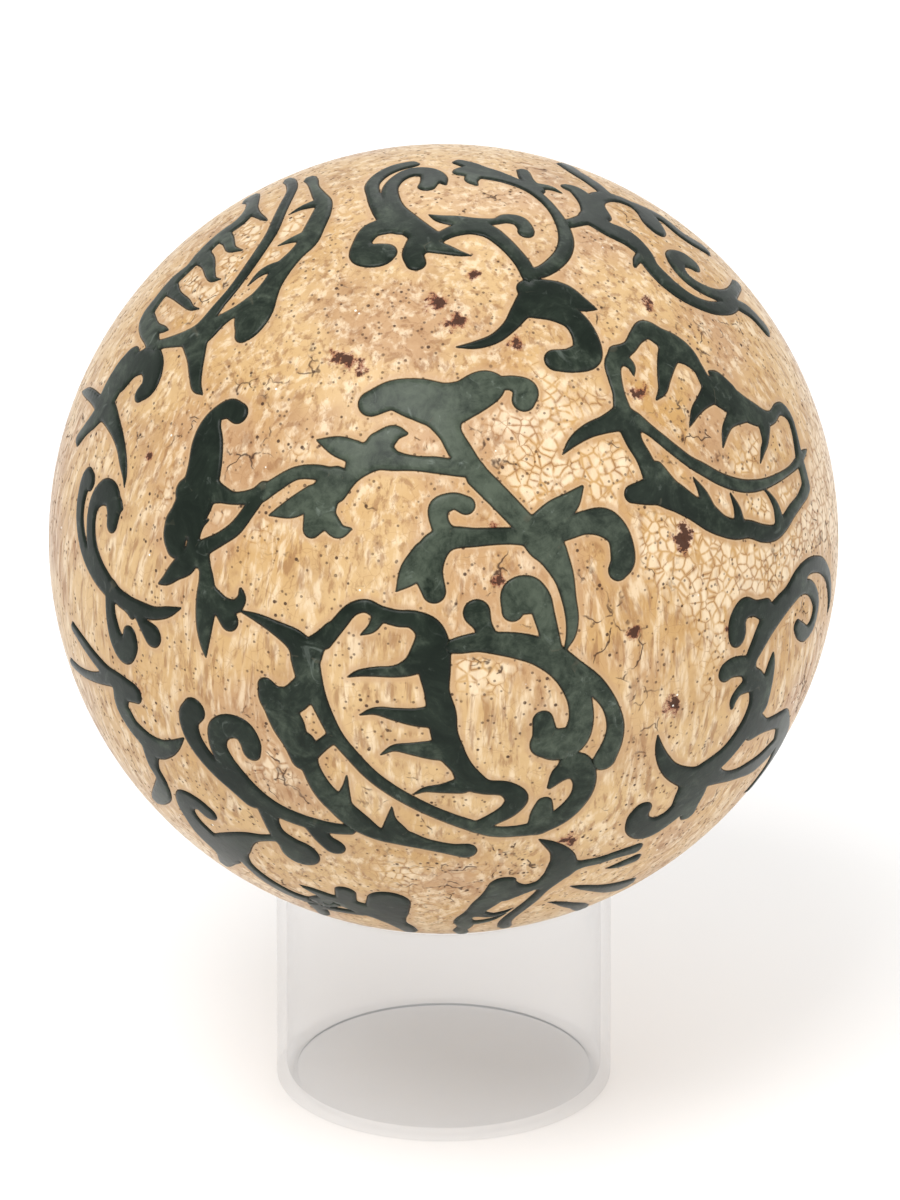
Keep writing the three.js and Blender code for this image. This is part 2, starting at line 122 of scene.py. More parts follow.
NEAR_DRAWINGS: dict[str, list[Sheet]] = {
    "central_leaf": [
        Sheet(2, -4, [
            [(-40, 26, 4.5), (-35.5, 32.4, 4.5), (-31.8, 36.8, 4), (-27.4, 38.3, 4), (-23, 36.4, 4.5),
             (-18, 35.2, 5), (-13, 34.9, 5.5), (-8.6, 32, 8), (-7, 27, 9.5), (-6.8, 20, 9.5),
             (-6.1, 13, 7.5), (-4.6, 5.5, 8.5), (-3.9, -0.8, 8), (-2, -7, 8), (1.1, -12.5, 6.5),
             (4, -17.5, 7.5), (8.3, -20.4, 5.5), (14.5, -21.7, 5.5), (17.9, -25.8, 7), (15.8, -30.1, 6),
             (11.4, -33.3, 5), (6, -36.5, 4.5)],
            [(-8, 28.6, 9), (-9.9, 24.9, 8), (-13, 21.1, 6), (-18, 18.9, 3.8), (-24.3, 18.3, 3),
             (-29.3, 17.4, 2), (-32.7, 15.8, 0.4)],
            [(-4.9, 4.9, 8), (-11.8, 4.3, 6), (-18, 4.9, 4.3), (-24.3, 5.6, 2.4), (-28.9, 3.9, 0.4)],
            [(-2.4, -6.4, 8), (-7.4, -6.7, 6.5), (-13, -6.5, 4.3), (-18.6, -6.5, 2.2), (-22.7, -9.2, 0.4)],
            [(1.4, -19.5, 6), (-4.3, -20.6, 3.4), (-9.3, -21.1, 1.9), (-12.9, -23.1, 0.4)],
            [(-23.3, 35.5, 4), (-25.5, 31.8, 2.8), (-28.9, 29.4, 0.4)],
            [(-46, 19.5, 9), (-44.8, 14.5, 8.2), (-42.5, 9, 6), (-39.9, 3, 5), (-36.1, -4.5, 4.5),
             (-31.4, -10.4, 4.2), (-25.5, -17, 4.2), (-18.6, -22.6, 4.2), (-10.5, -27.8, 4.2),
             (-3, -32, 4.2), (5.1, -36.1, 4.5), (11.4, -38.9, 4.5), (18.3, -39.6, 4.8), (25.8, -38.9, 6),
             (32.6, -35.1, 7), (37.6, -28.9, 7), (38.9, -22.6, 7.5), (37, -17, 8.5), (34.5, -15.1, 8)],
            [(35.8, -16.4, 8), (31.4, -18.3, 6), (27.9, -22.9, 1.5)],
            [(25.1, -38.9, 7), (25.8, -33.3, 7), (26.4, -29.2, 5)],
            [(-46.1, -8.3, 7), (-44.3, -17, 6), (-40.5, -25.1, 7), (-35.5, -30.8, 8), (-29.9, -36.4, 8),
             (-23.6, -40.8, 5.5), (-16.8, -41.4, 7), (-9.3, -44, 5), (-1.8, -46.2, 5), (3, -47.2, 6.6)],
            [(-44.9, -13.3, 5), (-40.5, -8.3, 4), (-36.8, -4.5, 4)],
            [(-34.6, -29.5, 6), (-33.5, -23.9, 2.5), (-33, -18.3, 0.4)],
            [(-18.6, -39.5, 8), (-19.6, -33.9, 3), (-19.4, -28.8, 0.4)],
        ]),
        Sheet(-2, -6, [
            [(-60, 34.5, 0.4), (-54, 33.6, 2.6), (-47, 31.5, 4.6), (-41, 28.8, 7), (-37.6, 24.5, 8.8)],
            [(-36.5, 26, 8), (-33, 31, 4.5), (-30, 34, 4.5)],
            [(-37, 15, 8.5), (-42, 9.5, 9), (-47.5, 8.3, 9.5), (-50.3, 12.3, 5.4)],
            [(-48, 8, 8), (-43.5, 1.5, 11), (-41, -5, 8), (-38.7, -11, 7)],
        ]),
    ],
    "inner_scroll": [
        Sheet(20, 12, [
            [(-40, -5, 3), (-36, -4.5, 5), (-30, -4, 6), (-24, -5, 7), (-18, -6.5, 8), (-12, -9, 8.5),
             (-6, -13.5, 9), (-2, -19, 9), (0, -26, 7.5), (0.5, -33, 8), (-1.5, -38.5, 9.5),
             (-6, -40, 11), (-10.5, -39, 9.5)],
            [(-10.5, -38, 8), (-11, -34, 7), (-11.5, -31, 6.2)],
            [(-7, -12, 6), (-1, -17, 7), (5, -22.3, 6), (9.6, -29, 5), (11.8, -36, 5.6), (11.3, -42, 6.6),
             (9, -48, 7.6)],
            [(-27, -4, 6), (-28.5, 1, 5.5), (-30, 5, 8)],
            [(-8, -10, 6), (-9, -3, 6), (-10, 2, 6.5), (-11, 7, 7), (-14, 10.3, 8), (-18, 9.5, 8.5),
             (-19.3, 4.5, 6.5)],
            [(-15, 8, 10), (-14, 7.5, 9)],
        ]),
    ],
    "upper_scroll": [
        Sheet(-10, 28, [
            [(-6.8, 33, 8), (-0.5, 36.1, 9.5), (7, 35.5, 13), (14.5, 34.3, 14), (20.8, 36.8, 12),
             (26.4, 41.1, 11), (30.8, 43, 5), (35.1, 43.6, 5), (38.9, 41.8, 7.5), (38.6, 38.6, 7)],
            [(14.5, 32.4, 12), (17.6, 26.1, 7), (21.4, 20.5, 7), (26.4, 15, 6), (32.6, 9.9, 5.5),
             (38.3, 4.9, 5.5), (43.9, -0.8, 6)],
            [(26.4, 15.5, 5), (20.8, 15.5, 5), (14.5, 15.8, 5), (8.3, 15.8, 4.5), (2, 16.1, 6),
             (-3, 17.4, 9), (-7.4, 15.5, 9), (-10.5, 10.5, 5), (-14.3, 5.5, 6)],
            [(-3, 20.5, 8), (0.8, 24.3, 5), (4.8, 24.6, 1)],
            [(-10.5, 18, 7), (-15.5, 19.3, 6), (-22.1, 20.8, 0.5)],
            [(-14.9, 9.3, 8), (-18, 4.3, 9.5), (-19.3, -1.4, 9), (-21.1, -5.8, 5.5)],
            [(-16.8, -2, 6), (-13, -5.8, 4.5), (-8.9, -5, 0.5)],
            [(-21.8, 4.3, 6), (-27.4, 0.2, 6), (-34.9, -2.5, 0.5)],
            [(-13, 9.9, 4), (-20.5, 11.1, 4.5), (-27.4, 10.5, 4), (-33.6, 6.8, 4.4), (-37.5, 3.8, 4.4)],
        ]),
        Sheet(20, 12, [
            [(-25.5, 45, 5), (-18, 36, 6), (-12, 28.5, 7), (-8, 24, 11), (-5.5, 20, 8)],
            [(-8, 28, 9), (-3, 31.5, 8), (2, 34, 6), (6.8, 38, 1)],
            [(-5, 26, 7), (0, 26.5, 6.5), (6, 27.5, 7), (12, 26.5, 8.5), (16, 22, 7.5), (16.5, 15, 8),
             (14.5, 12, 6.5)],
            [(-5.5, 20, 9), (-3, 13, 6.3), (-2, 6, 4.5), (-1.5, 0, 4), (-2.2, -5, 3), (-4.5, -10, 0.4)],
            [(-9, 24.5, 6), (-14, 26, 5), (-20, 27, 5), (-28, 27.5, 5.5), (-36, 28, 7), (-41, 25, 9),
             (-43, 19, 8.5), (-42, 12.5, 7)],
            [(-36, 28, 6), (-38, 33, 5.5), (-37.5, 37.5, 6), (-33, 39, 5), (-29.5, 37.3, 5.5)],
            [(-44, 24, 7), (-48, 19, 7), (-53, 13.5, 0.5)],
        ]),
    ],
    "left_lobed_leaf": [
        Sheet(-36, 20, [
            [(-8.3, 37.8, 6.6), (-12, 38.3, 6.2), (-15.7, 35.5, 5.2), (-16.5, 31, 8), (-15.3, 26, 11.5),
             (-13.7, 20, 12.5), (-13.2, 14, 13), (-14, 8, 13.5), (-16.5, 3, 11), (-18.3, -2, 9.5),
             (-17.3, -5.5, 7.5)],
            [(-14, 11, 12), (-17.6, 10.8, 8.6)],
            [(-15, 2, 9), (-18.3, 0.8, 9.6)],
            [(-9, 13.5, 8), (-5, 13.4, 5.4), (0, 13.4, 3.8), (6, 15.5, 4.4), (9, 18.5, 4.4)],
            [(9, 18.5, 4.4), (6, 11, 4.2), (3, 5, 4.4), (-1.5, 0.5, 4.2), (-6, -3, 5), (-9, -6, 7)],
            [(-7, 5, 0.6), (-9.5, 2.6, 2.6), (-10.8, -1.5, 4.2), (-10.3, -5.5, 6), (-12, -9.5, 7),
             (-15.5, -12.7, 5.6), (-18.7, -16.2, 3.4), (-21.8, -18.3, 0.6)],
            [(-7.5, -6, 7), (-5, -9, 4.6), (-3.6, -13, 5.6), (-2.8, -19, 7.4), (-2.7, -26, 6),
             (-2.2, -32, 3.2), (-1.5, -36, 0.4)],
            [(-2, -16.5, 6.5), (3, -19.3, 6.6), (6, -22.6, 6.4)],
            [(3, -18.5, 5), (7.5, -17.8, 4.2), (9.4, -15, 3), (8.7, -12.3, 1.2)],
        ]),
    ],
    "upper_left_leaf": [
        Sheet(-66, 52, [
            [(-35, 46.5, 4), (-30, 46, 3.5), (-24, 44.7, 3), (-17, 43.7, 4), (-10, 42.7, 5),
             (-4, 39, 6.5), (1, 34.5, 7), (5.5, 30, 7), (7.5, 25, 6), (9.5, 19, 7), (12.5, 13, 7.5),
             (15, 8, 10), (17, 3.5, 13), (19.5, 0, 10), (20.5, -3, 6.5)],
            [(-12, 41.5, 5), (-14, 37, 2.6), (-14.4, 32.5, 0.4)],
            [(3, 32, 6), (0.5, 28, 3.2), (-1.5, 23, 0.4)],
            [(9, 20, 5), (6, 16.5, 4), (4.8, 13, 2.6), (5.5, 8, 0.4)],
            [(-47, 42, 3.5), (-40, 41.5, 3.5), (-32, 39.5, 3.5), (-25, 35.5, 3.8), (-17, 30, 4),
             (-10, 24.5, 4.2), (-5, 18, 4.2), (-1, 11, 4.2), (1.8, 4, 4), (3.2, -3, 4.5), (4.5, -9, 6),
             (5.5, -14, 9)],
            [(15, 5, 10), (11, 0, 4.5), (9, -5, 5), (8, -10, 7), (6, -14, 9)],
            [(5.5, -14, 10), (11, -17.5, 7), (16, -21.5, 5), (20, -24.3, 3.5), (24, -24.8, 0.4)],
            [(4, -14, 7), (-1, -18, 4.8), (-6, -21.5, 3.6), (-10, -24.5, 4)],
            [(-50, 29.5, 6), (-44, 29, 4.5), (-36, 26, 5), (-31, 21, 6.5), (-31, 14, 6.5), (-29.5, 7, 7),
             (-28, 0, 5), (-29, -6, 6.5), (-28.5, -13, 6), (-27, -19, 7), (-22, -22.3, 5),
             (-15, -22.8, 6), (-10, -24.5, 5)],
            [(-36, 26, 5), (-28, 26, 2.6), (-22, 26.3, 1.6), (-19, 26.6, 0.4)],
            [(-31, 14, 6), (-24, 14, 4.2), (-17.5, 12.8, 3), (-12, 14.6, 0.4)],
            [(-29, 5, 6.5), (-21, 5, 5), (-14, 3, 3.6), (-10, 2.3, 2.2), (-7, 3.8, 0.4)],
            [(-28, -8, 6), (-20, -8.5, 3.4), (-12, -8.3, 3), (-7, -8.3, 1.8), (-3.5, -7, 0.4)],
            [(-24, -20, 6), (-17, -20, 3.6), (-12, -18.8, 2.5), (-9, -17.8, 0.4)],
        ]),
    ],
    "upper_left_stem": [
        Sheet(-66, 52, [
            [(-1, -37.5, 5.5), (0.5, -33.5, 8), (-2.5, -29.5, 9), (-8, -28.5, 9.5), (-13, -32.5, 9),
             (-15, -38, 8.5)],
        ]),
        Sheet(-60, 10, [
            [(-29, 54, 9), (-29.5, 49, 11.5), (-29.5, 42, 12), (-29, 38, 9)],
            [(-27, 38, 8), (-22, 37.4, 7), (-15, 35.5, 5.2), (-9, 32.8, 4.2), (-4, 29, 3.6),
             (-0.8, 25.8, 2), (0.8, 23, 0.4)],
            [(-29, 37.5, 7), (-36, 37, 4.6), (-42, 36.5, 4), (-50, 35, 3.2), (-58, 32.5, 0.4)],
            [(-29, 37, 8), (-31.5, 33, 6.8), (-34.8, 28.6, 5), (-38.3, 23.6, 4.6)],
        ]),
    ],
    "left_double_curl": [
        Sheet(-60, 10, [
            [(-18.9, 17.2, 6), (-21.6, 16.8, 7), (-21.8, 11.5, 6), (-20, 5.7, 5.2), (-16.2, 0.7, 5),
             (-11.5, -3, 5.2), (-6, -5.7, 5.4), (0, -7.3, 6), (6, -8, 6.5)],
            [(0, 11, 5.6), (-1, 15, 7), (-4, 18.2, 8), (-8.5, 17.8, 8), (-12, 14, 6.5), (-12.4, 9, 5.6),
             (-10, 3, 5.5), (-6, -1.5, 5.5), (0, -5, 5.2), (8, -8.2, 5.5), (15, -9, 5.5), (22, -8.3, 4.8),
             (27, -7.3, 4), (32, -5, 3.2), (36.8, -2, 0.4)],
            [(5.5, -8, 6), (5.5, -13, 5), (7, -18, 6), (9.5, -22.5, 7.5), (13, -24.5, 9),
             (16, -21.5, 7.5), (16, -18.8, 6.3)],
            [(19, -9, 5), (22, -12.5, 4.5), (26.3, -14.8, 7.4)],
            [(14, -9, 5), (16.5, -11.5, 3.2)],
            [(0, 16.6, 6), (3.3, 17, 0.6)],
        ]),
    ],
    "left_edge_leaf": [
        Sheet(-60, 10, [
            [(16.5, -37.8, 6.8), (10, -38, 8.5), (3, -36.7, 6), (-5, -34.5, 5), (-12, -32.5, 4.5),
             (-20, -30.5, 3.5)],
            [(9, -40, 8), (8, -46, 7), (12, -52, 6), (18, -56, 4.5)],
            [(2, -38.5, 5), (-7, -42, 3.5), (-18, -45, 3), (-30, -47, 3)],
        ]),
        Sheet(-30, -24, [
            [(-24.5, 22.3, 0.6), (-29, 17.5, 4), (-34, 13.8, 6.5), (-40, 12, 9), (-47, 15, 6.5),
             (-50, 19, 5)],
            [(-41, 11, 8), (-41.5, 3, 5.5), (-39.5, -3, 5), (-41, -9, 7), (-45, -15, 6), (-49, -20, 4)],
        ]),
    ],
    "lower_left_scroll": [
        Sheet(-30, -24, [
            [(-19, 34.8, 8), (-21.4, 31, 7.6), (-20.8, 25.5, 7), (-17.5, 20, 6.6), (-12.5, 15, 6.4),
             (-7, 11.2, 7), (-2, 7.5, 8)],
            [(1, 26, 6), (0.8, 29.5, 7.4), (-1.5, 33, 8), (-6, 33.3, 8), (-10, 30.5, 7.6),
             (-11, 25.5, 6.6), (-9.3, 20.5, 7), (-6, 15.5, 7.4), (-2, 10.5, 7.6), (3, 6.5, 6.8),
             (8, 4, 6), (15, 1.7, 5.4), (22, 0.2, 5), (28, -0.2, 4.2)],
            [(2.8, 4, 7), (2.8, -1, 5.6), (3.8, -6, 6), (7, -11, 9), (9, -14, 12.5)],
            [(17.5, 0, 7), (19, -5, 6), (21.5, -8.5, 7)],
            [(1.5, -9, 3), (-2.5, -10.3, 3), (-7, -12, 4.5), (-11, -15, 7), (-15, -19, 10), (-19, -23, 12)],
            [(-21.5, -7, 6.4), (-25, -4.8, 6.4), (-29.5, -5.5, 7.6), (-31.5, -10, 7.4), (-30.3, -16, 8.4),
             (-27.5, -22, 11.5), (-23.5, -28, 12), (-25, -34, 7), (-29.5, -42, 4)],
            [(-17, -22, 10), (-15.5, -29, 5), (-13.5, -35, 5), (-10, -41, 6), (-4, -46, 6), (4, -47, 6),
             (10, -44, 7)],
        ]),
    ],
    "top_scroll": [
        Sheet(8, 70, [
            [(-8, 55, 5), (-13, 53.5, 5.5), (-18, 49.5, 5), (-21.5, 43.5, 4.5), (-22, 37, 4.2),
             (-21.5, 30, 5), (-19, 23, 8), (-16, 17, 9)],
            [(0, 37, 0.8), (-1.5, 42, 5.5), (-4, 46.5, 7), (-8.5, 48, 6.4), (-13, 45, 5),
             (-16.3, 39.5, 4.8), (-17.3, 33, 5.4), (-17, 26, 6.5), (-15, 19.5, 8), (-12, 13.5, 8.5),
             (-8.5, 8.5, 8)],
            [(-3.5, 44, 6), (-4.5, 39.5, 5.6), (-5.7, 36.7, 5.4)],
            [(-20, 18, 8), (-25, 17, 7), (-28.5, 12, 6), (-28.5, 7, 9), (-25, 5.3, 10), (-22.8, 5.6, 8)],
            [(-12, 7, 8), (-14.3, 3, 6.6), (-14, -1, 6)],
            [(-10, 6, 6), (-5, 3.5, 4.4), (-1, 1.3, 2.4), (2.5, 0, 0.4)],
            [(-9, 7.5, 6), (-5, 9.3, 4.5), (-1, 11.3, 5), (4, 12.6, 6.4), (9, 10.8, 6.2),
             (12.5, 6.6, 5.4), (15.5, 1.5, 5), (17.8, -3.5, 5), (19, -8.5, 4.6)],
            [(-7.3, 20.3, 0.4), (-4, 17.6, 3.6), (1, 16, 5), (6, 15, 4.4), (12, 15.5, 3), (15.5, 17, 4.4),
             (19.3, 16.2, 5.2), (20.8, 12.5, 5), (20.6, 10.8, 5)],
            [(19, -8, 4), (24, -5.5, 4.6), (28.5, -1, 5), (31.5, 4, 5), (33, 10, 4.8), (32.8, 17, 4.2),
             (31, 25, 3.6), (28, 32, 4), (24.5, 37, 5), (19, 41.5, 6.5), (13, 45, 9), (8, 46, 7.4),
             (6, 45.5, 5)],
            [(13, 45, 8), (10.5, 50, 6), (7, 54, 4.5)],
            [(10, 43.5, 5), (8.3, 39.5, 4), (9.3, 36.3, 1.2)],
        ]),
        Sheet(85, 58, [
            [(2, 37.5, 4.6), (8, 41.2, 4.6), (14.3, 42.6, 4)],
            [(4.5, 38, 4), (5.8, 34, 3), (4.8, 30.5, 0.8)],
        ]),
    ],
    "top_leaf": [
        Sheet(8, 70, [
            [(-6, -33.6, 0.4), (0, -33.3, 2.6), (6, -31.3, 3.4), (11, -27, 4.2), (15, -21.5, 6),
             (19, -16.5, 8), (22, -13, 6)],
            [(18, -13.5, 7), (23, -13.5, 8.5), (28.5, -14.5, 9), (34, -17, 5.5), (39, -18.2, 0.4)],
            [(18, -20, 8), (25, -20.5, 8.5), (31, -23.5, 8), (34, -29, 8.5), (34, -35, 9.5),
             (29, -37.8, 8), (23.8, -38.3, 7)],
        ]),
    ],
    "right_top_scroll": [
        Sheet(85, 58, [
            [(-13, 26, 4), (-9, 23, 4.5), (-5, 20.5, 6), (1, 20.8, 7), (6, 22.5, 7.5), (10.5, 26, 6),
             (10.7, 28.6, 4.6)],
            [(-5.5, 20, 8), (-7, 14, 8.5), (-6.8, 8, 9), (-9.5, 2.5, 7), (-14, -1, 6.5), (-16.8, -6, 7),
             (-17.8, -12, 6.4), (-16.5, -18, 5.2), (-13, -23.5, 5), (-8, -27.5, 5), (-3, -30, 5),
             (3, -31.5, 5)],
            [(-12, 1.5, 5), (-15.8, 3.3, 2.6), (-19.5, 3.4, 1)],
            [(0, 18, 8), (7, 19.5, 5.5), (13, 18.5, 6), (18, 14, 5.5), (19.5, 8, 5.5), (17, 3, 8),
             (12, 0.5, 8.5), (9.5, -0.7, 6)],
            [(2.5, -14, 6.4), (1.5, -10.8, 7.6), (-2.5, -8.3, 7), (-7, -11, 5.6), (-8.2, -16, 5),
             (-5.5, -22, 5), (-1, -26.5, 5), (5, -29.5, 4.6), (12, -31, 4), (19, -32, 4)],
            [(17, 16, 5), (24, 21, 6), (30, 26, 6), (37, 29, 6)],
            [(20, 6, 7), (23, -2, 6), (20, -10, 6), (24, -18, 6)],
            [(3, -33, 5), (7, -38, 6), (8.5, -45, 6)],
        ]),
    ],
    "right_leaf": [
        Sheet(52, 30, [
            [(-50, 18.8, 0.4), (-45, 20.8, 3), (-39, 21.6, 4.4), (-33, 21, 5.4), (-27.5, 20.5, 7.5)],
            [(-26, 21, 6.5), (-23.5, 27, 4.2), (-21.5, 32, 4.6), (-19.3, 35.7, 5.5), (-15.5, 37.8, 6)],
            [(-15.5, 38, 5.6), (-10, 38.2, 4.2), (-5, 40, 4.8), (0, 40.5, 6.5), (3, 36.5, 7),
             (5.5, 32, 9.5), (8.3, 28, 7.5), (9.5, 23, 4.6), (9.5, 18, 5.4), (12, 14, 9.5), (16, 10, 9.5),
             (20, 6, 8.5), (24, 2.8, 7.5), (28.5, 0.2, 5.4), (33, -0.7, 4), (38, 0.3, 3.8),
             (42, -0.8, 4.6), (44, -4.2, 3.8), (43.4, -8.5, 3.6), (42, -12.5, 4), (40.8, -16.5, 5),
             (40.7, -21, 5), (40.3, -25, 5.4)],
            [(13.4, 20, 1.6), (15.3, 17.5, 4.6), (17.7, 12.5, 5.6)],
            [(-15, 36.5, 4.4), (-13.8, 33, 2.8), (-15, 30, 0.4)],
            [(4, 32, 8), (-0.5, 29.3, 6.6), (-5, 25.6, 4.8), (-8.5, 22.2, 3), (-12.5, 20.5, 0.5)],
            [(10, 15, 7.5), (4, 13.6, 4.6), (-1, 12, 3.2), (-6, 8.9, 0.4)],
            [(17.5, 5.8, 7.5), (11, 4.6, 4), (7, 2.6, 2.8), (3.2, -1.2, 0.4)],
            [(26.5, -1.5, 6), (23.5, -6, 3), (20.5, -8, 2), (17.2, -10.8, 0.4)],
            [(-23, 18, 5), (-20, 13, 3.6), (-16, 6, 3.6), (-12, 0, 3.6), (-8, -4.2, 4), (-3, -9, 4),
             (3, -13, 4), (9, -15.5, 3.8), (16, -17, 3.2), (24, -17.6, 2.6), (32, -17.6, 2.3),
             (38, -17, 3), (44, -16, 2.8), (49, -15.5, 0.4)],
            [(-25.5, 19, 8), (-27, 13, 5.8), (-26.6, 7, 5.4), (-26.5, 1, 6.5), (-25, -4, 9.5),
             (-21, -8.5, 8.5), (-17, -13, 7.4), (-12, -18, 8), (-8, -22, 6.5), (-3, -25, 6),
             (3, -27, 5.4), (9, -30.3, 5.4), (15, -32, 4.8), (21, -31, 4.8), (27, -29, 4.4),
             (33, -27.7, 4), (38.5, -26, 5)],
            [(-25.5, -4, 9), (-31, -2.5, 7.4), (-35.3, -1.3, 5.4)],
            [(-24, 2, 5), (-22, -4, 5)],
            [(-11.5, -17, 6), (-11.5, -11, 3.4), (-12.8, -5, 0.4)],
            [(-1, -25, 5), (0, -20, 3), (-0.8, -14.5, 0.6)],
            [(18.3, -31, 5), (18.6, -25.5, 3.2), (16.8, -21, 1.6), (14.6, -18, 0.4)],
        ]),
    ],
    "right_scroll": [
        Sheet(50, -12, [
            [(-34.2, 4.5, 0.4), (-33, 0, 2.6), (-30.5, -5, 4.2), (-26.8, -9.7, 5.2), (-22, -13.3, 6.4),
             (-16, -16, 8), (-10, -15, 9), (-4, -12.3, 8.5), (1, -8, 8.5), (5.5, -2.5, 9.5),
             (7.5, 4, 9.5), (5, 10, 6)],
            [(-14, -19, 13), (-13.5, -25, 13), (-11.5, -29.5, 8), (-10.3, -33, 6)],
            [(-14.5, -26, 10), (-19, -31.5, 8.5), (-25, -34.5, 9.5), (-30.5, -32, 8.5),
             (-32.7, -27.5, 7.6), (-32.2, -25, 7)],
            [(-9, -18, 9), (-2, -21.5, 5), (5, -23.8, 4.6), (12, -25, 6), (19, -26, 8), (27, -25, 9)],
            [(9, 1, 9), (11, 8, 6.5), (12.3, 13.5, 4), (13, 17.2, 1)],
            [(8, 6, 8), (5, 11, 7), (1.5, 14.5, 6.5), (1.5, 19, 6), (5, 23.5, 7.4), (10, 28, 9),
             (16, 30.5, 8.5), (22, 32, 7.5), (29, 34.6, 7.4), (36, 35.5, 5.4), (43, 33.3, 5),
             (49, 29.5, 5), (54, 23.5, 4.4), (56.5, 16, 3.4), (56, 9, 0.4)],
            [(2, 11.5, 6), (-2.5, 10.8, 3.8), (-5, 8.5, 3.2), (-5.3, 5.8, 1.4)],
            [(1, 17, 6), (-3, 19, 6.5), (-7, 19.8, 6.6), (-9.3, 19.3, 6.6)],
            [(9, 33, 7), (4, 35.3, 5), (-1, 36.8, 7), (-4.3, 34, 7.5), (-4.6, 30, 7.4), (-4.5, 28.6, 5.6)],
            [(24, 31.5, 6), (30, 31.3, 4.6), (35.5, 29.3, 4.6), (39.5, 25.3, 5), (41.3, 20.5, 4.8),
             (39, 15.8, 5), (34, 14.5, 5), (29.5, 17.5, 5.4), (27, 20.3, 4)],
            [(9, -7, 9), (14, -9, 5.5), (20, -10.5, 5.5), (27, -13, 7), (31, -19, 9), (36, -27, 9),
             (37, -36, 7), (32, -43, 5), (26, -44, 0.6)],
        ]),
    ],
    "lower_right_leaf": [
        Sheet(4, -44, [
            [(21.5, 36.5, 0.4), (24.6, 33.2, 3), (27.5, 29, 5), (29, 24, 7.5), (29, 18.5, 10)],
            [(29, 17, 9), (35, 17, 4.6), (41, 15.6, 4), (47, 14.8, 4.2), (53, 13, 5)],
            [(28.5, 16, 10), (23.5, 11.5, 6), (18, 10.5, 4.6), (13.5, 12, 7), (11, 15, 8), (13, 16.8, 4)],
            [(11, 13.5, 9), (9, 8, 8.5), (6, 2, 7.5), (3.5, -4, 5.6), (0.8, -9.5, 4.6), (0.8, -14, 6),
             (1.5, -20, 4.6), (0.5, -27, 4.2), (1.5, -34, 4)],
            [(4, -5, 5), (8.5, -8, 3.6), (12.5, -6.5, 2), (15, -4, 0.5)],
            [(12, 6.5, 6), (17, 8.7, 4.6), (22.5, 11, 3.6)],
            [(1, -15, 5), (6, -14.5, 3.4), (10, -12, 2), (13, -8.5, 0.5)],
            [(27, 13, 7), (23.5, 6.5, 4), (20.5, 0, 4), (17.5, -6, 4), (14.7, -13, 4), (13.5, -20, 4),
             (14, -28, 4.2)],
            [(53, 6, 4.4), (48, 6.8, 3.4), (43.5, 8, 0.4)],
            [(32.3, 3.8, 0.4), (36, 0, 2.6), (41, -6, 4), (46, -12, 6.4), (51, -17, 8)],
            [(25.8, -5.2, 0.4), (29, -8.5, 2), (32.3, -14, 3.4), (36, -21, 4.4), (38, -29, 5)],
        ]),
    ],
    "bottom_band": [
        Sheet(4, -44, [
            [(-49.5, -4, 0.4), (-45, -4.6, 4), (-40, -6, 6), (-35, -7, 8), (-29, -9, 10), (-23, -12, 10)],
            [(-35.5, 2.5, 6.5), (-35, -3, 6.5), (-33.5, -8, 7)],
            [(-22.3, 2, 13), (-22.5, -6, 13), (-22, -12, 11), (-19.5, -18, 7), (-16.5, -24, 6),
             (-14.5, -31, 5)],
            [(-38, -7, 7), (-42, -12, 7), (-44, -18, 6), (-42, -25, 5), (-41, -32, 4)],
            [(-30, -14, 4), (-35, -16, 4), (-41, -18, 5)],
        ]),
    ],
}


@dataclass(frozen=True)
class Copy:
    """A near drawing repeated on the far side."""

    drawing: str
    longitude: float
    latitude: float
    turn: float
    mirror: int


# The far side's copies, by the name of the inlay that each one makes.
FAR_DRAWINGS: dict[str, Copy] = {
    "far_leaf_east": Copy("right_leaf", 137, 4, 14, 1),
    "far_leaf_west": Copy("right_leaf", 231, 6, -14, -1),
    "far_curl": Copy("left_double_curl", 184, 6, 20, 1),
    "far_leaf_low": Copy("left_lobed_leaf", 182, -38, 75, 1),
}

# Drawings whose solids are two nodes in the frame.
SECOND_NODES = {"central_leaf": "inlay_central_leaf_point", "lower_left_scroll": "inlay_lower_left_leaf"}


def all_drawings() -> dict[str, list[Sheet]]:
    """Every drawing on the ball, near and far, by its inlay's name."""
    drawings = dict(NEAR_DRAWINGS)
    for name, copy in FAR_DRAWINGS.items():
        strokes = NEAR_DRAWINGS[copy.drawing][0].strokes
        drawings[name] = [Sheet(copy.longitude, copy.latitude, strokes, copy.turn, copy.mirror)]
    return drawings


# ---------- The ornament as a field over the ball ----------


@dataclass
class Stroke:
    """One tapering stroke on the ball.

    Attributes:
        drawing: The index of the drawing that it belongs to.
        spine: Points along its middle as unit directions, one a row.
        half: Its half width at each point, in millimetres.
        middle: The direction of its middle.
        reach: The angle from the middle to its furthest point.
    """

    drawing: int
    spine: np.ndarray
    half: np.ndarray
    middle: np.ndarray
    reach: float


@dataclass
class Reading:
    """What the field says at many directions.

    Attributes:
        lap: Millimetres outside (positive) or inside (negative) the inlay's outline.
        seam: Millimetres to the joint between two stones of the inlay.
        stone: The index of the nearest stroke.
    """

    lap: np.ndarray
    seam: np.ndarray
    stone: np.ndarray


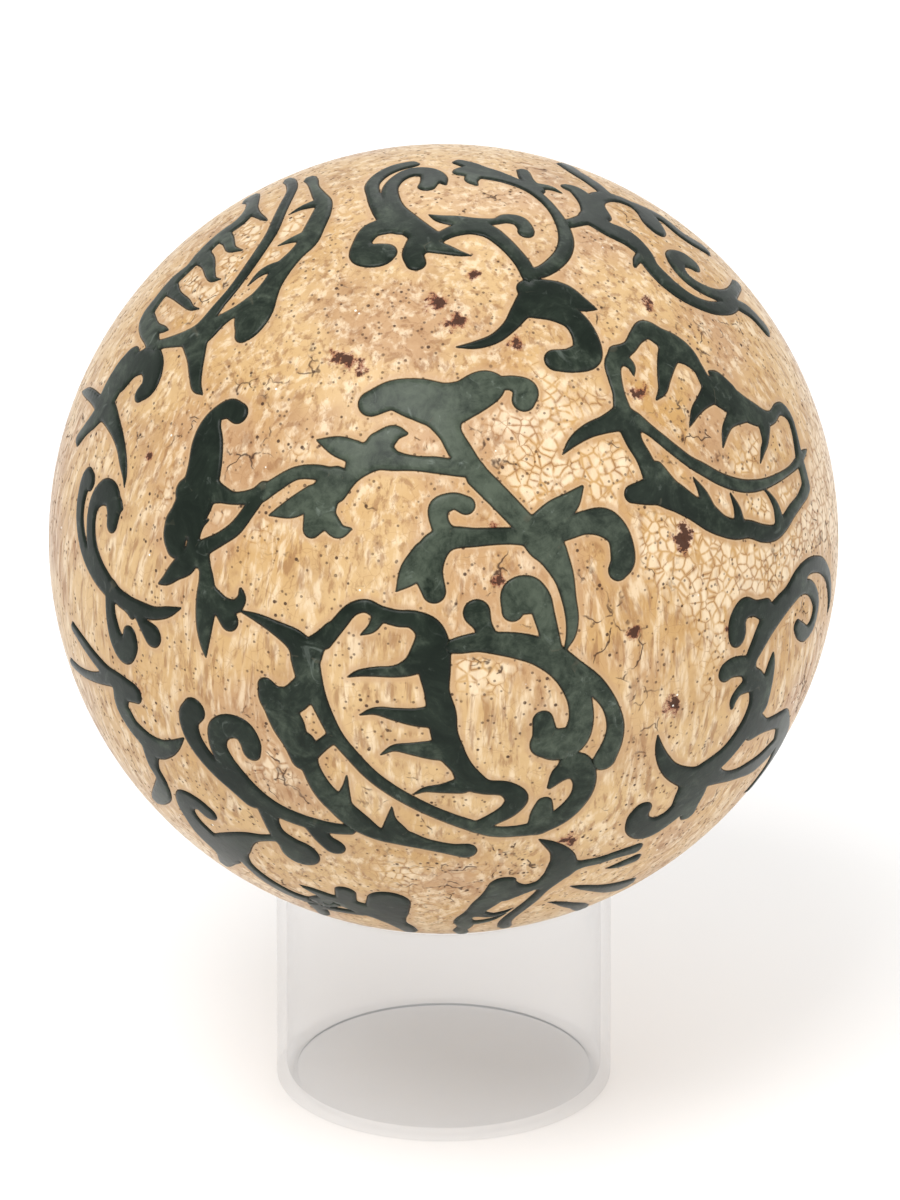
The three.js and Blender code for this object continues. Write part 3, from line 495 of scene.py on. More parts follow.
@dataclass
class OrnamentField:
    """Distances to the inlay's outline, from the strokes of every drawing.

    Attributes:
        radius: The ball's radius in millimetres.
        step: Spacing of the points along a stroke, in millimetres.
        fillet: How far two strokes' outlines melt together where they meet, in millimetres.
        margin: How far from a stroke its distances are worked out, in millimetres.
        thinnest: The least width of a stroke, in millimetres.
        batch: How many points of a stroke are measured at once.
    """

    radius: float
    step: float = 0.4
    fillet: float = 0.7
    margin: float = 9.0
    thinnest: float = 0.2
    batch: int = 64
    names: list[str] = field(default_factory=list)
    strokes: list[Stroke] = field(default_factory=list)

    def add_drawing(self, name: str, sheets: list[Sheet]) -> None:
        """Adds every stroke of one drawing."""
        self.names.append(name)
        for sheet in sheets:
            for knots in sheet.strokes:
                self.strokes.append(self._stroke(sheet, knots, len(self.names) - 1))

    def _stroke(self, sheet: Sheet, knots: list[Knot], drawing: int) -> Stroke:
        """Runs a smooth curve through a stroke's knots and lays it on the ball."""
        line = self._smooth(np.array(knots, float))
        spine = sheet.wrap(line[:, :2], self.radius)
        middle = spine.mean(axis=0)
        middle /= np.linalg.norm(middle)
        reach = float(np.arccos(np.clip(spine @ middle, -1, 1)).max())
        return Stroke(drawing, spine, line[:, 2] / 2, middle, reach)

    def _smooth(self, knots: np.ndarray) -> np.ndarray:
        """A Catmull-Rom curve through knots, sampled evenly enough to measure distances from.

        Args:
            knots: One (across, up, width) a row.

        Returns:
            Points of the curve with their widths, one a row.
        """
        first, last = 2 * knots[0] - knots[1], 2 * knots[-1] - knots[-2]
        padded = np.vstack([first, knots, last])
        rows = []
        for i in range(1, len(padded) - 2):
            a, b, c, d = padded[i - 1 : i + 3]
            count = max(2, int(np.hypot(*(c - b)[:2]) / self.step))
            t = np.linspace(0, 1, count, endpoint=False)[:, None]
            bend, twist = 2 * a - 5 * b + 4 * c - d, 3 * b - a - 3 * c + d
            rows.append(0.5 * (2 * b + (c - a) * t + bend * t**2 + twist * t**3))
        curve = np.vstack([*rows, knots[-1:]])
        curve[:, 2] = np.maximum(curve[:, 2], self.thinnest)
        return curve

    def read(self, directions: np.ndarray) -> Reading:
        """Measures the field at unit directions from the ball's centre, one a row."""
        count = len(directions)
        lap = np.full(count, self.margin)
        best = np.full(count, self.margin)
        second = np.full(count, self.margin)
        stone = np.zeros(count, int)
        for index, stroke in enumerate(self.strokes):
            widest = stroke.reach + (stroke.half.max() + self.margin) / self.radius
            near = np.nonzero(directions @ stroke.middle > math.cos(min(widest, math.pi)))[0]
            if not len(near):
                continue
            distance = self._distance(directions[near], stroke)
            rank_first = distance < best[near]
            second[near] = np.where(rank_first, best[near], np.minimum(second[near], distance))
            best[near] = np.where(rank_first, distance, best[near])
            stone[near] = np.where(rank_first, index, stone[near])
            blend = np.clip(0.5 + 0.5 * (lap[near] - distance) / self.fillet, 0, 1)
            mixed = lap[near] + (distance - lap[near]) * blend - self.fillet * blend * (1 - blend)
            lap[near] = mixed
        return Reading(lap, second - best, stone)

    def _distance(self, directions: np.ndarray, stroke: Stroke) -> np.ndarray:
        """Millimetres from directions to a stroke's edge, negative inside it."""
        nearest = np.full(len(directions), 1e9)
        for start in range(0, len(stroke.spine), self.batch):
            spine = stroke.spine[start : start + self.batch]
            half = stroke.half[start : start + self.batch]
            chord = np.sqrt(np.maximum(2 - 2 * (directions @ spine.T), 0)) * self.radius
            nearest = np.minimum(nearest, (chord - half).min(axis=1))
        return nearest


# ---------- Stonework ----------

# How grey each drawing's stones are, from 0 to 1.
STONE_TONES = {
    "upper_scroll": 0.75,
    "inner_scroll": 0.55,
    "central_leaf": 0.4,
    "left_double_curl": 0.15,
    "lower_left_scroll": 0.2,
    "upper_left_leaf": 0.45,
    "top_scroll": 0.4,
    "right_leaf": 0.35,
    "right_scroll": 0.35,
}

PLAIN_TONE = 0.3

# How far neighbouring stones differ, and the turn that keeps like shades apart.
SHADE_SPREAD = 0.35
GOLDEN_TURN = 0.61803


@dataclass
class InlaidBall:
    """The stone ball's outer skin, cut along the inlay's outline into ground and inlays.

    Attributes:
        centre: The ball's centre in metres.
        radius: The ball's radius in metres.
        ornament: The field of the inlay's outline.
        first_cuts: Subdivisions of the icosphere that the skin starts from.
        bands: The skin is made twice as fine within each of these distances of the outline, in turn,
            in millimetres.
        snap: A corner this near the outline counts as on it, in millimetres.
        proud: How far an inlay's face stands above the ground, in millimetres.
        dip: Depth of the worn joint between an inlay and the ground, in millimetres.
        worn: Width of the rounding at an inlay's edge, in millimetres.
        wall: Depth of the walls beside the joint, in millimetres.
    """

    centre: Vector
    radius: float
    ornament: OrnamentField
    first_cuts: int = 6
    bands: tuple[float, ...] = (2.6, 1.1, 0.5)
    snap: float = 0.06
    proud: float = 0.4
    dip: float = 0.2
    worn: float = 0.9
    wall: float = 1.2

    def build(self) -> dict[str, bpy.types.Object]:
        """Makes the ground and one piece for each drawing, by name."""
        skin = self._cut_skin()
        self._mark_owners(skin)
        stones = self._only(skin, lambda owner: owner > 0)
        pieces = {"ground": self._piece(self._only(skin, lambda owner: owner == 0), "stone_ground")}
        for index, name in enumerate(self.ornament.names, start=1):
            inlay = self._only(stones, lambda owner: owner == index)
            pieces[name] = self._piece(inlay, f"stone_{name}")
            log.info("%s: %d faces", pieces[name].name, len(pieces[name].data.polygons))
        skin.free()
        stones.free()
        return pieces

    def _only(self, bm: bmesh.types.BMesh, wanted: Callable[[int], bool]) -> bmesh.types.BMesh:
        """A copy of a mesh with only the faces whose owner is wanted."""
        part = bm.copy()
        owner = part.faces.layers.int["owner"]
        bmesh.ops.delete(part, geom=[f for f in part.faces if not wanted(f[owner])], context="FACES")
        return part

    def _directions(self, bm: bmesh.types.BMesh) -> np.ndarray:
        """The direction of each vertex from the ball's centre, one a row."""
        places = np.array([v.co for v in bm.verts], float)
        return places / np.linalg.norm(places, axis=1)[:, None]

    def _cut_skin(self) -> bmesh.types.BMesh:
        """An icosphere made finer near the outline and cut along it."""
        bm = bmesh.new()
        bmesh.ops.create_icosphere(bm, subdivisions=self.first_cuts, radius=self.radius)
        for band in self.bands:
            lap = self.ornament.read(self._directions(bm)).lap
            bm.verts.index_update()
            near = [e for e in bm.edges if min(abs(lap[v.index]) for v in e.verts) < band]
            bmesh.ops.subdivide_edges(bm, edges=near, cuts=1, use_grid_fill=True)
            self._round_off(bm)
        lap = self.ornament.read(self._directions(bm)).lap
        lap[np.abs(lap) < self.snap] = 0.0
        bm.verts.index_update()
        crossing, places = [], {}
        for edge in bm.edges:
            a, b = (lap[v.index] for v in edge.verts)
            if a * b < 0:
                crossing.append(edge)
                places[edge] = a / (a - b)
        bmesh.ops.subdivide_edges(bm, edges=crossing, cuts=1, edge_percents=places)
        self._round_off(bm)
        return bm

    def _round_off(self, bm: bmesh.types.BMesh) -> None:
        """Puts every vertex on the ball and leaves only triangles."""
        for vert in bm.verts:
            vert.co = vert.co.normalized() * self.radius
        bmesh.ops.triangulate(bm, faces=[f for f in bm.faces if len(f.verts) > 3])

    def _mark_owners(self, bm: bmesh.types.BMesh) -> None:
        """Marks each face with the number of its drawing, from 1, or with 0 for the ground."""
        centres = np.array([f.calc_center_median().normalized() for f in bm.faces])
        reading = self.ornament.read(centres)
        drawings = np.array([s.drawing for s in self.ornament.strokes])
        owners = np.where(reading.lap < 0, drawings[reading.stone] + 1, 0)
        layer = bm.faces.layers.int.new("owner")
        for face, owner in zip(bm.faces, owners):
            face[layer] = int(owner)

    def _piece(self, bm: bmesh.types.BMesh, name: str) -> bpy.types.Object:
        """Gives a part of the skin its relief and its walls into the ball."""
        reading = self.ornament.read(self._directions(bm))
        lift = self._lift(reading.lap)
        for vert, rise in zip(bm.verts, lift):
            vert.co *= 1 + rise * MM / self.radius
        rim = [e for e in bm.edges if e.is_boundary]
        made = bmesh.ops.extrude_edge_only(bm, edges=rim)["geom"]
        for vert in (g for g in made if isinstance(g, bmesh.types.BMVert)):
            vert.co *= 1 - self.wall * MM / self.radius
        bmesh.ops.translate(bm, verts=bm.verts, vec=self.centre)
        return self._finish(bm, name)

    def _lift(self, lap: np.ndarray) -> np.ndarray:
        """How far the surface stands off the plain ball, in millimetres."""
        inside = np.clip(-lap / self.worn, 0, 1)
        outside = np.clip(lap / self.worn, 0, 1)
        inlay = -self.dip + (self.proud + self.dip) * np.sin(inside * math.pi / 2)
        ground = -self.dip * (1 - np.sin(outside * math.pi / 2))
        return np.where(lap < 0, inlay, ground)

    def _finish(self, bm: bmesh.types.BMesh, name: str) -> bpy.types.Object:
        """Turns a bmesh into an object whose vertices carry what its finish reads."""
        places = np.array([v.co - self.centre for v in bm.verts], float)
        reading = self.ornament.read(places / np.linalg.norm(places, axis=1)[:, None])
        mesh = bpy.data.meshes.new(name)
        bm.to_mesh(mesh)
        bm.free()
        tones = self._tones()
        for label, values in (("lap", reading.lap), ("seam", reading.seam), ("tone", tones[reading.stone])):
            layer = mesh.attributes.new(label, "FLOAT", "POINT")
            layer.data.foreach_set("value", values.astype(np.float32))
        mesh.shade_smooth()
        piece = bpy.data.objects.new(name, mesh)
        bpy.context.scene.collection.objects.link(piece)
        return piece

    def _tones(self) -> np.ndarray:
        """A shade from 0, near black, to 1, grey, for each stroke's stone."""
        order = np.arange(len(self.ornament.strokes))
        spread = (order * GOLDEN_TURN) % 1.0
        names = [self.ornament.names[stroke.drawing] for stroke in self.ornament.strokes]
        base = np.array([STONE_TONES.get(name, PLAIN_TONE) for name in names])
        return np.clip(base + (spread - 0.5) * SHADE_SPREAD, 0, 1)


# ---------- Clear stand ----------


@dataclass
class ClearStand:
    """The clear cylinder: a closed floor on a shallow foot ring, and a rim that the ball rests on.

    Attributes:
        radius: Outer radius in metres.
        height: Height in metres.
        wall: Thickness of the tube in metres.
        floor: Height of the floor's upper face in metres.
        recess: Depth of the hollow under the floor in metres.
        foot: Width of the ring that touches down in metres.
        edge: Rounding of the polished edges in metres.
        edge_rows: Rows of faces across a rounded edge.
        corner: Edges sharper than this are rounded, in degrees.
        smooth: Edges sharper than this aren't shaded smooth, in degrees.
        steps: Facets round the cylinder.
    """

    radius: float
    height: float
    wall: float = 3 * MM
    floor: float = 3 * MM
    recess: float = 1 * MM
    foot: float = 6 * MM
    edge: float = 0.35 * MM
    edge_rows: int = 3
    corner: float = 40
    smooth: float = 50
    steps: int = 192

    def build(self) -> bpy.types.Object:
        """Spins the cylinder's section round its axis."""
        bm = bmesh.new()
        section = [
            (0.0, self.recess),
            (self.radius - self.foot, self.recess),
            (self.radius - self.foot, 0.0),
            (self.radius, 0.0),
            (self.radius, self.height),
            (self.radius - self.wall, self.height),
            (self.radius - self.wall, self.floor),
            (0.0, self.floor),
        ]
        corners = [bm.verts.new((r, 0.0, z)) for r, z in section]
        edges = [bm.edges.new(pair) for pair in zip(corners, corners[1:])]
        bmesh.ops.spin(
            bm,
            geom=[*corners, *edges],
            cent=(0, 0, 0),
            axis=(0, 0, 1),
            angle=2 * math.pi,
            steps=self.steps,
            use_merge=True,
        )
        bmesh.ops.remove_doubles(bm, verts=bm.verts, dist=1e-6)
        bmesh.ops.recalc_face_normals(bm, faces=bm.faces)
        corner = math.radians(self.corner)
        sharp = [e for e in bm.edges if e.is_manifold and e.calc_face_angle(0) > corner]
        bmesh.ops.bevel(
            bm, geom=sharp, offset=self.edge, offset_type="OFFSET", affect="EDGES",
            segments=self.edge_rows, profile=0.5, material=-1, clamp_overlap=True,
        )
        mesh = bpy.data.meshes.new("clear_cylinder")
        bm.to_mesh(mesh)
        bm.free()
        mesh.shade_smooth()
        stand = bpy.data.objects.new("clear_cylinder", mesh)
        bpy.context.scene.collection.objects.link(stand)
        mesh.set_sharp_from_angle(angle=math.radians(self.smooth))
        return stand


# ---------- Shader maths ----------


class Sock:
    """A value or colour socket of a material, with operators that add maths nodes."""

    def __init__(self, shader: Shader, socket: bpy.types.NodeSocket) -> None:
        """Wraps one output socket of a material."""
        self.shader = shader
        self.socket = socket

    def _math(self, operation: str, other: Sock | float, swap: bool = False) -> Sock:
        """One Math node of this value and another."""
        pair = [other, self] if swap else [self, other]
        return self.shader.node("ShaderNodeMath", {"operation": operation}, dict(enumerate(pair)))

    def __add__(self, other: Sock | float) -> Sock:
        """Sum."""
        return self._math("ADD", other)

    __radd__ = __add__

    def __sub__(self, other: Sock | float) -> Sock:
        """Difference."""
        return self._math("SUBTRACT", other)

    def __rsub__(self, other: Sock | float) -> Sock:
        """Difference from a number."""
        return self._math("SUBTRACT", other, swap=True)

    def __mul__(self, other: Sock | float) -> Sock:
        """Product."""
        return self._math("MULTIPLY", other)

    __rmul__ = __mul__

    def __truediv__(self, other: Sock | float) -> Sock:
        """Quotient."""
        return self._math("DIVIDE", other)

    def power(self, exponent: float) -> Sock:
        """This value to a power."""
        return self._math("POWER", exponent)

    def least(self, other: Sock | float) -> Sock:
        """The smaller of two values."""
        return self._math("MINIMUM", other)

    def most(self, other: Sock | float) -> Sock:
        """The larger of two values."""
        return self._math("MAXIMUM", other)

    def ramp(self, low: float, high: float, start: float = 0.0, end: float = 1.0) -> Sock:
        """Runs from start to end, smoothly, as this value goes from low to high."""
        return self.shader.node(
            "ShaderNodeMapRange",
            {"interpolation_type": "SMOOTHSTEP"},
            {"Value": self, "From Min": low, "From Max": high, "To Min": start, "To Max": end},
        )


Colour = tuple[float, float, float]


class Shader:
    """One material's nodes."""

    def __init__(self, name: str) -> None:
        """Starts a material with a Principled shader."""
        self.material = bpy.data.materials.new(name)
        self.material.use_nodes = True
        self.nodes = self.material.node_tree.nodes
        self.links = self.material.node_tree.links
        self.surface = self.nodes["Principled BSDF"]

    def node(
        self,
        kind: str,
        settings: dict[str, object] | None = None,
        inputs: dict[str | int, object] | None = None,
        output: str | int = 0,
    ) -> Sock:
        """Adds a node.

        Args:
            kind: The node's type.
            settings: Its properties, set first.
            inputs: Values or sockets by input name or number.
            output: Which of its outputs to return.

        Returns:
            The chosen output.
        """
        made = self.nodes.new(kind)
        for key, value in (settings or {}).items():
            setattr(made, key, value)
        for key, value in (inputs or {}).items():
            self.feed(made.inputs[key], value)
        return Sock(self, made.outputs[output])

    def feed(self, socket: bpy.types.NodeSocket, value: object) -> None:
        """Links a socket to an input, or sets the input to a plain value."""
        if isinstance(value, Sock):
            self.links.new(value.socket, socket)
        elif isinstance(value, tuple) and len(value) == 3 and socket.type == "RGBA":
            socket.default_value = (*value, 1.0)
        else:
            socket.default_value = value

    def set(self, **values: object) -> None:
        """Sets inputs of the Principled shader, named with underscores for spaces."""
        for key, value in values.items():
            self.feed(self.surface.inputs[key.replace("_", " ")], value)

    def place(
        self,
        offset: Vector,
        turn: tuple[float, float, float] = (0, 0, 0),
        stretch: tuple[float, float, float] = (1, 1, 1),
    ) -> Sock:
        """Object coordinates measured from a point, then turned and stretched."""
        coordinates = self.node("ShaderNodeTexCoord", output="Object")
        centred = self.node(
            "ShaderNodeVectorMath", {"operation": "SUBTRACT"}, {0: coordinates, 1: tuple(offset)}
        )
        return self.node("ShaderNodeMapping", {}, {"Vector": centred, "Rotation": turn, "Scale": stretch})

    def noise(
        self,
        where: Sock,
        scale: float,
        detail: float = 4.0,
        roughness: float = 0.55,
        distortion: float = 0.0,
    ) -> Sock:
        """Fractal noise from 0 to 1; scale is features a metre."""
        return self.node(
            "ShaderNodeTexNoise",
            {},
            {
                "Vector": where,
                "Scale": scale,
                "Detail": detail,
                "Roughness": roughness,
                "Distortion": distortion,
            },
        )

    def cells(self, where: Sock, scale: float, feature: str = "F1", randomness: float = 1.0) -> Sock:
        """Distance to the nearest cell point or cell edge."""
        return self.node(
            "ShaderNodeTexVoronoi",
            {"feature": feature},
            {"Vector": where, "Scale": scale, "Randomness": randomness},
            output="Distance",
        )

    def warp(self, where: Sock, scale: float, amount: float) -> Sock:
        """Bends coordinates by up to half an amount, in metres, with noise of a scale."""
        inputs = {"Vector": where, "Scale": scale, "Detail": 2.0}
        swirl = self.node("ShaderNodeTexNoise", {}, inputs, output="Color")
        middle = (0.5, 0.5, 0.5)
        centred = self.node("ShaderNodeVectorMath", {"operation": "SUBTRACT"}, {0: swirl, 1: middle})
        scaled = self.node("ShaderNodeVectorMath", {"operation": "SCALE"}, {0: centred, "Scale": amount})
        return self.node("ShaderNodeVectorMath", {"operation": "ADD"}, {0: where, 1: scaled})

    def mix(self, factor: Sock | float, a: Sock | Colour, b: Sock | Colour) -> Sock:
        """Mixes two colours."""
        made = self.nodes.new("ShaderNodeMix")
        made.data_type = "RGBA"
        self.feed(made.inputs[0], factor)
        self.feed(made.inputs[6], a)
        self.feed(made.inputs[7], b)
        return Sock(self, made.outputs[2])

    def attribute(self, name: str) -> Sock:
        """A number that the mesh carries."""
        return self.node("ShaderNodeAttribute", {"attribute_name": name}, output="Fac")

    def bump(self, height: Sock, distance: float, strength: float = 1.0) -> Sock:
        """A Bump node's normal."""
        return self.node(
            "ShaderNodeBump", {}, {"Height": height, "Distance": distance, "Strength": strength}
        )


# ---------- Finishes ----------


@dataclass(frozen=True)
class Blemish:
    """A red-brown cavity or stain at a place on a sheet, in millimetres."""

    longitude: float
    latitude: float
    across: float
    up: float
    size: float

    def place(self, centre: Vector, radius: float) -> Vector:
        """Where it lies, in metres."""
        flat = np.array([[self.across, self.up]])
        direction = Sheet(self.longitude, self.latitude, []).wrap(flat, radius / MM)[0]
        return centre + Vector(direction) * radius


# A stain reaches this many times the size of its cavity.
STAIN_REACH = 1.6

# The cavities that show most.
BLEMISHES = [
    Blemish(8, 70, -10, -17, 4.5),
    Blemish(8, 70, -5, -25, 4.0),
    Blemish(8, 70, 2, -8, 2.5),
    Blemish(8, 70, -38, -32, 4.0),
    Blemish(8, 70, 12, -33, 3.0),
    Blemish(4, -44, 31, 33, 4.0),
    Blemish(-60, 10, 17.5, -36, 2.6),
    Blemish(-60, 10, 7, 35, 2.2),
    Blemish(50, -12, -7.5, 33, 3.0),
    Blemish(52, 30, -17, 25, 4.0),
    Blemish(52, 30, -24, -20, 5.0),
    Blemish(52, 30, 8, 47, 3.0),
    Blemish(-12, 30, -17, 43, 3.5),
    Blemish(-12, 30, -9, 40, 3.0),
    Blemish(20, 12, -23, 14, 3.2),
    Blemish(20, 12, 18, -8, 3.0),
    Blemish(20, 12, -22, 30, 2.4),
    Blemish(35, -5, 0, 0, 4.5),
]


@dataclass(frozen=True)
class GoldenTravertine:
    """Polished cream and gold stone.

    It has swirling fibres, crazed pale patches, brown cracks and pits, and smooth filler round the inlay.
    """

    centre: Vector
    radius: float
    cream: Colour = (0.60, 0.405, 0.20)
    gold: Colour = (0.50, 0.29, 0.105)
    blush: Colour = (0.46, 0.275, 0.15)
    pale: Colour = (0.82, 0.67, 0.47)
    umber: Colour = (0.27, 0.125, 0.05)
    filler: Colour = (0.47, 0.285, 0.15)
    cement: Colour = (0.60, 0.42, 0.24)
    shadow: Colour = (0.12, 0.065, 0.03)
    pit: Colour = (0.050, 0.022, 0.012)
    rust: Colour = (0.23, 0.045, 0.022)
    chalk: Colour = (0.9, 0.86, 0.78)

    def material(self) -> bpy.types.Material:
        """Builds the material."""
        s = Shader("golden_travertine")
        where = s.place(self.centre)
        lap = s.attribute("lap")
        filler = 1 - (lap - s.noise(where, 260, 2) * 1.8).ramp(-0.1, 1.7)
        bare = 1 - filler

        colour = s.mix(s.noise(where, 13, 3).ramp(0.38, 0.62), self.cream, self.gold)
        colour = s.mix(s.noise(where, 21, 2).ramp(0.5, 0.66) * 0.8, colour, self.blush)
        colour = s.mix(s.noise(where, 75, 6, 0.65).ramp(0.45, 0.8) * 0.55, colour, self.umber)
        ridges = self._fibres(s, 330, 0.006).ramp(0.46, 0.68)
        grooves = self._fibres(s, 420, 0.008).ramp(0.5, 0.66)
        colour = s.mix(ridges * 0.62, colour, self.pale)
        colour = s.mix(grooves * bare * 0.6, colour, self.umber)

        crazed = s.noise(where, 15, 2).ramp(0.53, 0.63)
        warped = s.warp(where, 90, 0.006)
        lumps = s.cells(warped, 300, "DISTANCE_TO_EDGE").ramp(0.0, 0.22)
        edges = 1 - s.cells(warped, 300, "DISTANCE_TO_EDGE").ramp(0.0, 0.05)
        web = edges * s.noise(where, 140, 2).ramp(0.46, 0.56)
        colour = s.mix(crazed * bare * lumps * 0.7, colour, self.pale)
        colour = s.mix(web * bare * (0.3 + crazed * 0.5), colour, self.umber)

        colour = s.mix(filler * 0.62, colour, self.filler)
        cement = (1 - lap.ramp(0.35, 0.75)) * (0.4 + s.noise(where, 500, 2) * 0.8)
        colour = s.mix(cement.least(1.0) * 0.7, colour, self.cement)
        colour = s.mix((1 - lap.ramp(0.04, 0.3)) * 0.85, colour, self.shadow)

        cracks = self._cracks(s, where) * bare
        pores = self._pores(s, where)
        rust, holes = self._blemishes(s, where)
        colour = s.mix(rust, colour, self.rust)
        dark = (cracks + pores + holes).least(1.0)
        colour = s.mix(dark * 0.92, colour, self.pit)
        flecks = (1 - s.cells(where, 130).ramp(0.035, 0.06)) * s.noise(where, 40, 1).ramp(0.5, 0.56)
        colour = s.mix(flecks * bare, colour, self.chalk)

        s.set(Base_Color=colour, Roughness=(0.3 + grooves * 0.12 + dark * 0.4), IOR=1.5)
        s.set(Specular_IOR_Level=0.2)
        relief = ridges * 0.22 - grooves * bare * 0.3 - dark + s.noise(where, 190, 4) * 0.25
        s.set(Normal=s.bump(relief, 0.00045, 0.6))
        return s.material

    def _fibres(self, s: Shader, scale: float, swirl: float) -> Sock:
        """Noise drawn out into curving fibres; swirl is how far they bend, in metres."""
        along = s.place(self.centre, turn=(0.0, math.radians(24), 0.0), stretch=(1.0, 1.0, 0.22))
        return s.noise(s.warp(along, 70, swirl), scale, 3, 0.6)

    def _cracks(self, s: Shader, where: Sock) -> Sock:
        """Thin broken cracks, gathered in some areas."""
        warped = s.warp(where, 160, 0.010)
        lines = 1 - s.cells(warped, 75, "DISTANCE_TO_EDGE").ramp(0.0, 0.035)
        area = s.noise(where, 24, 3).ramp(0.5, 0.62)
        return lines * area * s.noise(where, 210, 2).ramp(0.44, 0.56)

    def _pores(self, s: Shader, where: Sock) -> Sock:
        """Small round pits, some of them twice the size."""
        small = (1 - s.cells(where, 430).ramp(0.12, 0.24)) * s.noise(where, 90, 2).ramp(0.4, 0.5)
        large = (1 - s.cells(where, 210).ramp(0.08, 0.14)) * s.noise(where, 45, 2).ramp(0.42, 0.52)
        return (small * 0.75).most(large)

    def _blemishes(self, s: Shader, where: Sock) -> tuple[Sock, Sock]:
        """The rusty stains and the broken cavities in their middles."""
        near = None
        for blemish in BLEMISHES:
            offset = blemish.place(self.centre, self.radius) - self.centre
            ends = {0: where, 1: tuple(offset)}
            distance = s.node("ShaderNodeVectorMath", {"operation": "DISTANCE"}, ends, output="Value")
            spot = 1 - distance / (blemish.size * MM * STAIN_REACH)
            near = spot if near is None else near.most(spot)
        broken = s.noise(where, 330, 4, 0.7)
        rust = (near * 0.7 + broken * 1.3).ramp(0.92, 1.2)
        holes = (near * 0.6 + broken * 1.5).ramp(1.14, 1.24)
        return rust * 0.85, holes


@dataclass(frozen=True)
class DarkSerpentine:
    """Polished near-black green stone with grey-green clouds and pale wisps, and painted shade along each
    inlay's worn edge.
    """

    centre: Vector
    deep: Colour = (0.004, 0.009, 0.005)
    green: Colour = (0.019, 0.029, 0.019)
    cloud: Colour = (0.085, 0.105, 0.075)
    wisp: Colour = (0.25, 0.29, 0.25)
    joint: Colour = (0.10, 0.09, 0.06)
    # Near-black painted shade along each inlay's worn edge, where it turns down into the joint.
    rim: Colour = (0.006, 0.006, 0.004)

    def material(self) -> bpy.types.Material:
        """Builds the material."""
        s = Shader("dark_serpentine")
        where = s.place(self.centre)
        tone = s.attribute("tone")
        depth = 0 - s.attribute("lap")
        clouds = s.noise(where, 75, 8, 0.68, 0.9)
        mottle = s.noise(where, 330, 5, 0.65, 0.5)
        colour = s.mix((clouds + tone * 0.35).ramp(0.42, 0.85), self.deep, self.green)
        greyer = (clouds * 0.6 + mottle * 0.4 + tone * 0.42).ramp(0.62, 0.98)
        colour = s.mix(greyer * 0.9, colour, self.cloud)
        wisps = s.noise(s.warp(where, 60, 0.012), 160, 5, 0.6, 1.5).ramp(0.6, 0.78)
        colour = s.mix(wisps * (0.12 + tone * 0.4), colour, self.wisp)
        joint = 1 - s.attribute("seam").ramp(0.05, 0.3)
        colour = s.mix(joint * 0.35, colour, self.joint)
        # Painted shade: each inlay darkens within 0.7 mm of its outline, where the rounded edge turns down
        # into the joint.
        colour = s.mix((1 - depth.ramp(0.1, 0.7)) * 0.65, colour, self.rim)
        s.set(Base_Color=colour, Roughness=0.24 + mottle * 0.16, IOR=1.52, Specular_IOR_Level=0.16)
        s.set(Normal=s.bump(s.noise(where, 150, 4) * 0.6 + mottle * 0.35, 0.0003, 0.5))
        return s.material


@dataclass(frozen=True)
class ClearAcrylic:
    """Clear polished acrylic as see-through grey, more opaque where the eye grazes along its walls: painted
    shade for the darkening from refraction and reflection.
    """

    # Grey painted shade for the light lost to refraction and reflection in the walls.
    refraction_grey: Colour = (0.60, 0.60, 0.61)
    roughness: float = 0.05
    body: float = 0.03
    grazing: float = 0.45
    falloff: float = 5.0

    def material(self) -> bpy.types.Material:
        """Builds the material."""
        s = Shader("clear_acrylic")
        facing = s.node("ShaderNodeLayerWeight", {}, {"Blend": 0.5}, output="Facing")
        s.set(Base_Color=self.refraction_grey, Roughness=self.roughness, IOR=1.49)
        # Painted shade: the grey cover thickens at grazing angles, standing in for the dark edges that
        # refraction gives.
        s.set(Alpha=self.body + facing.power(self.falloff) * self.grazing)
        return s.material


# ---------- Studio ----------


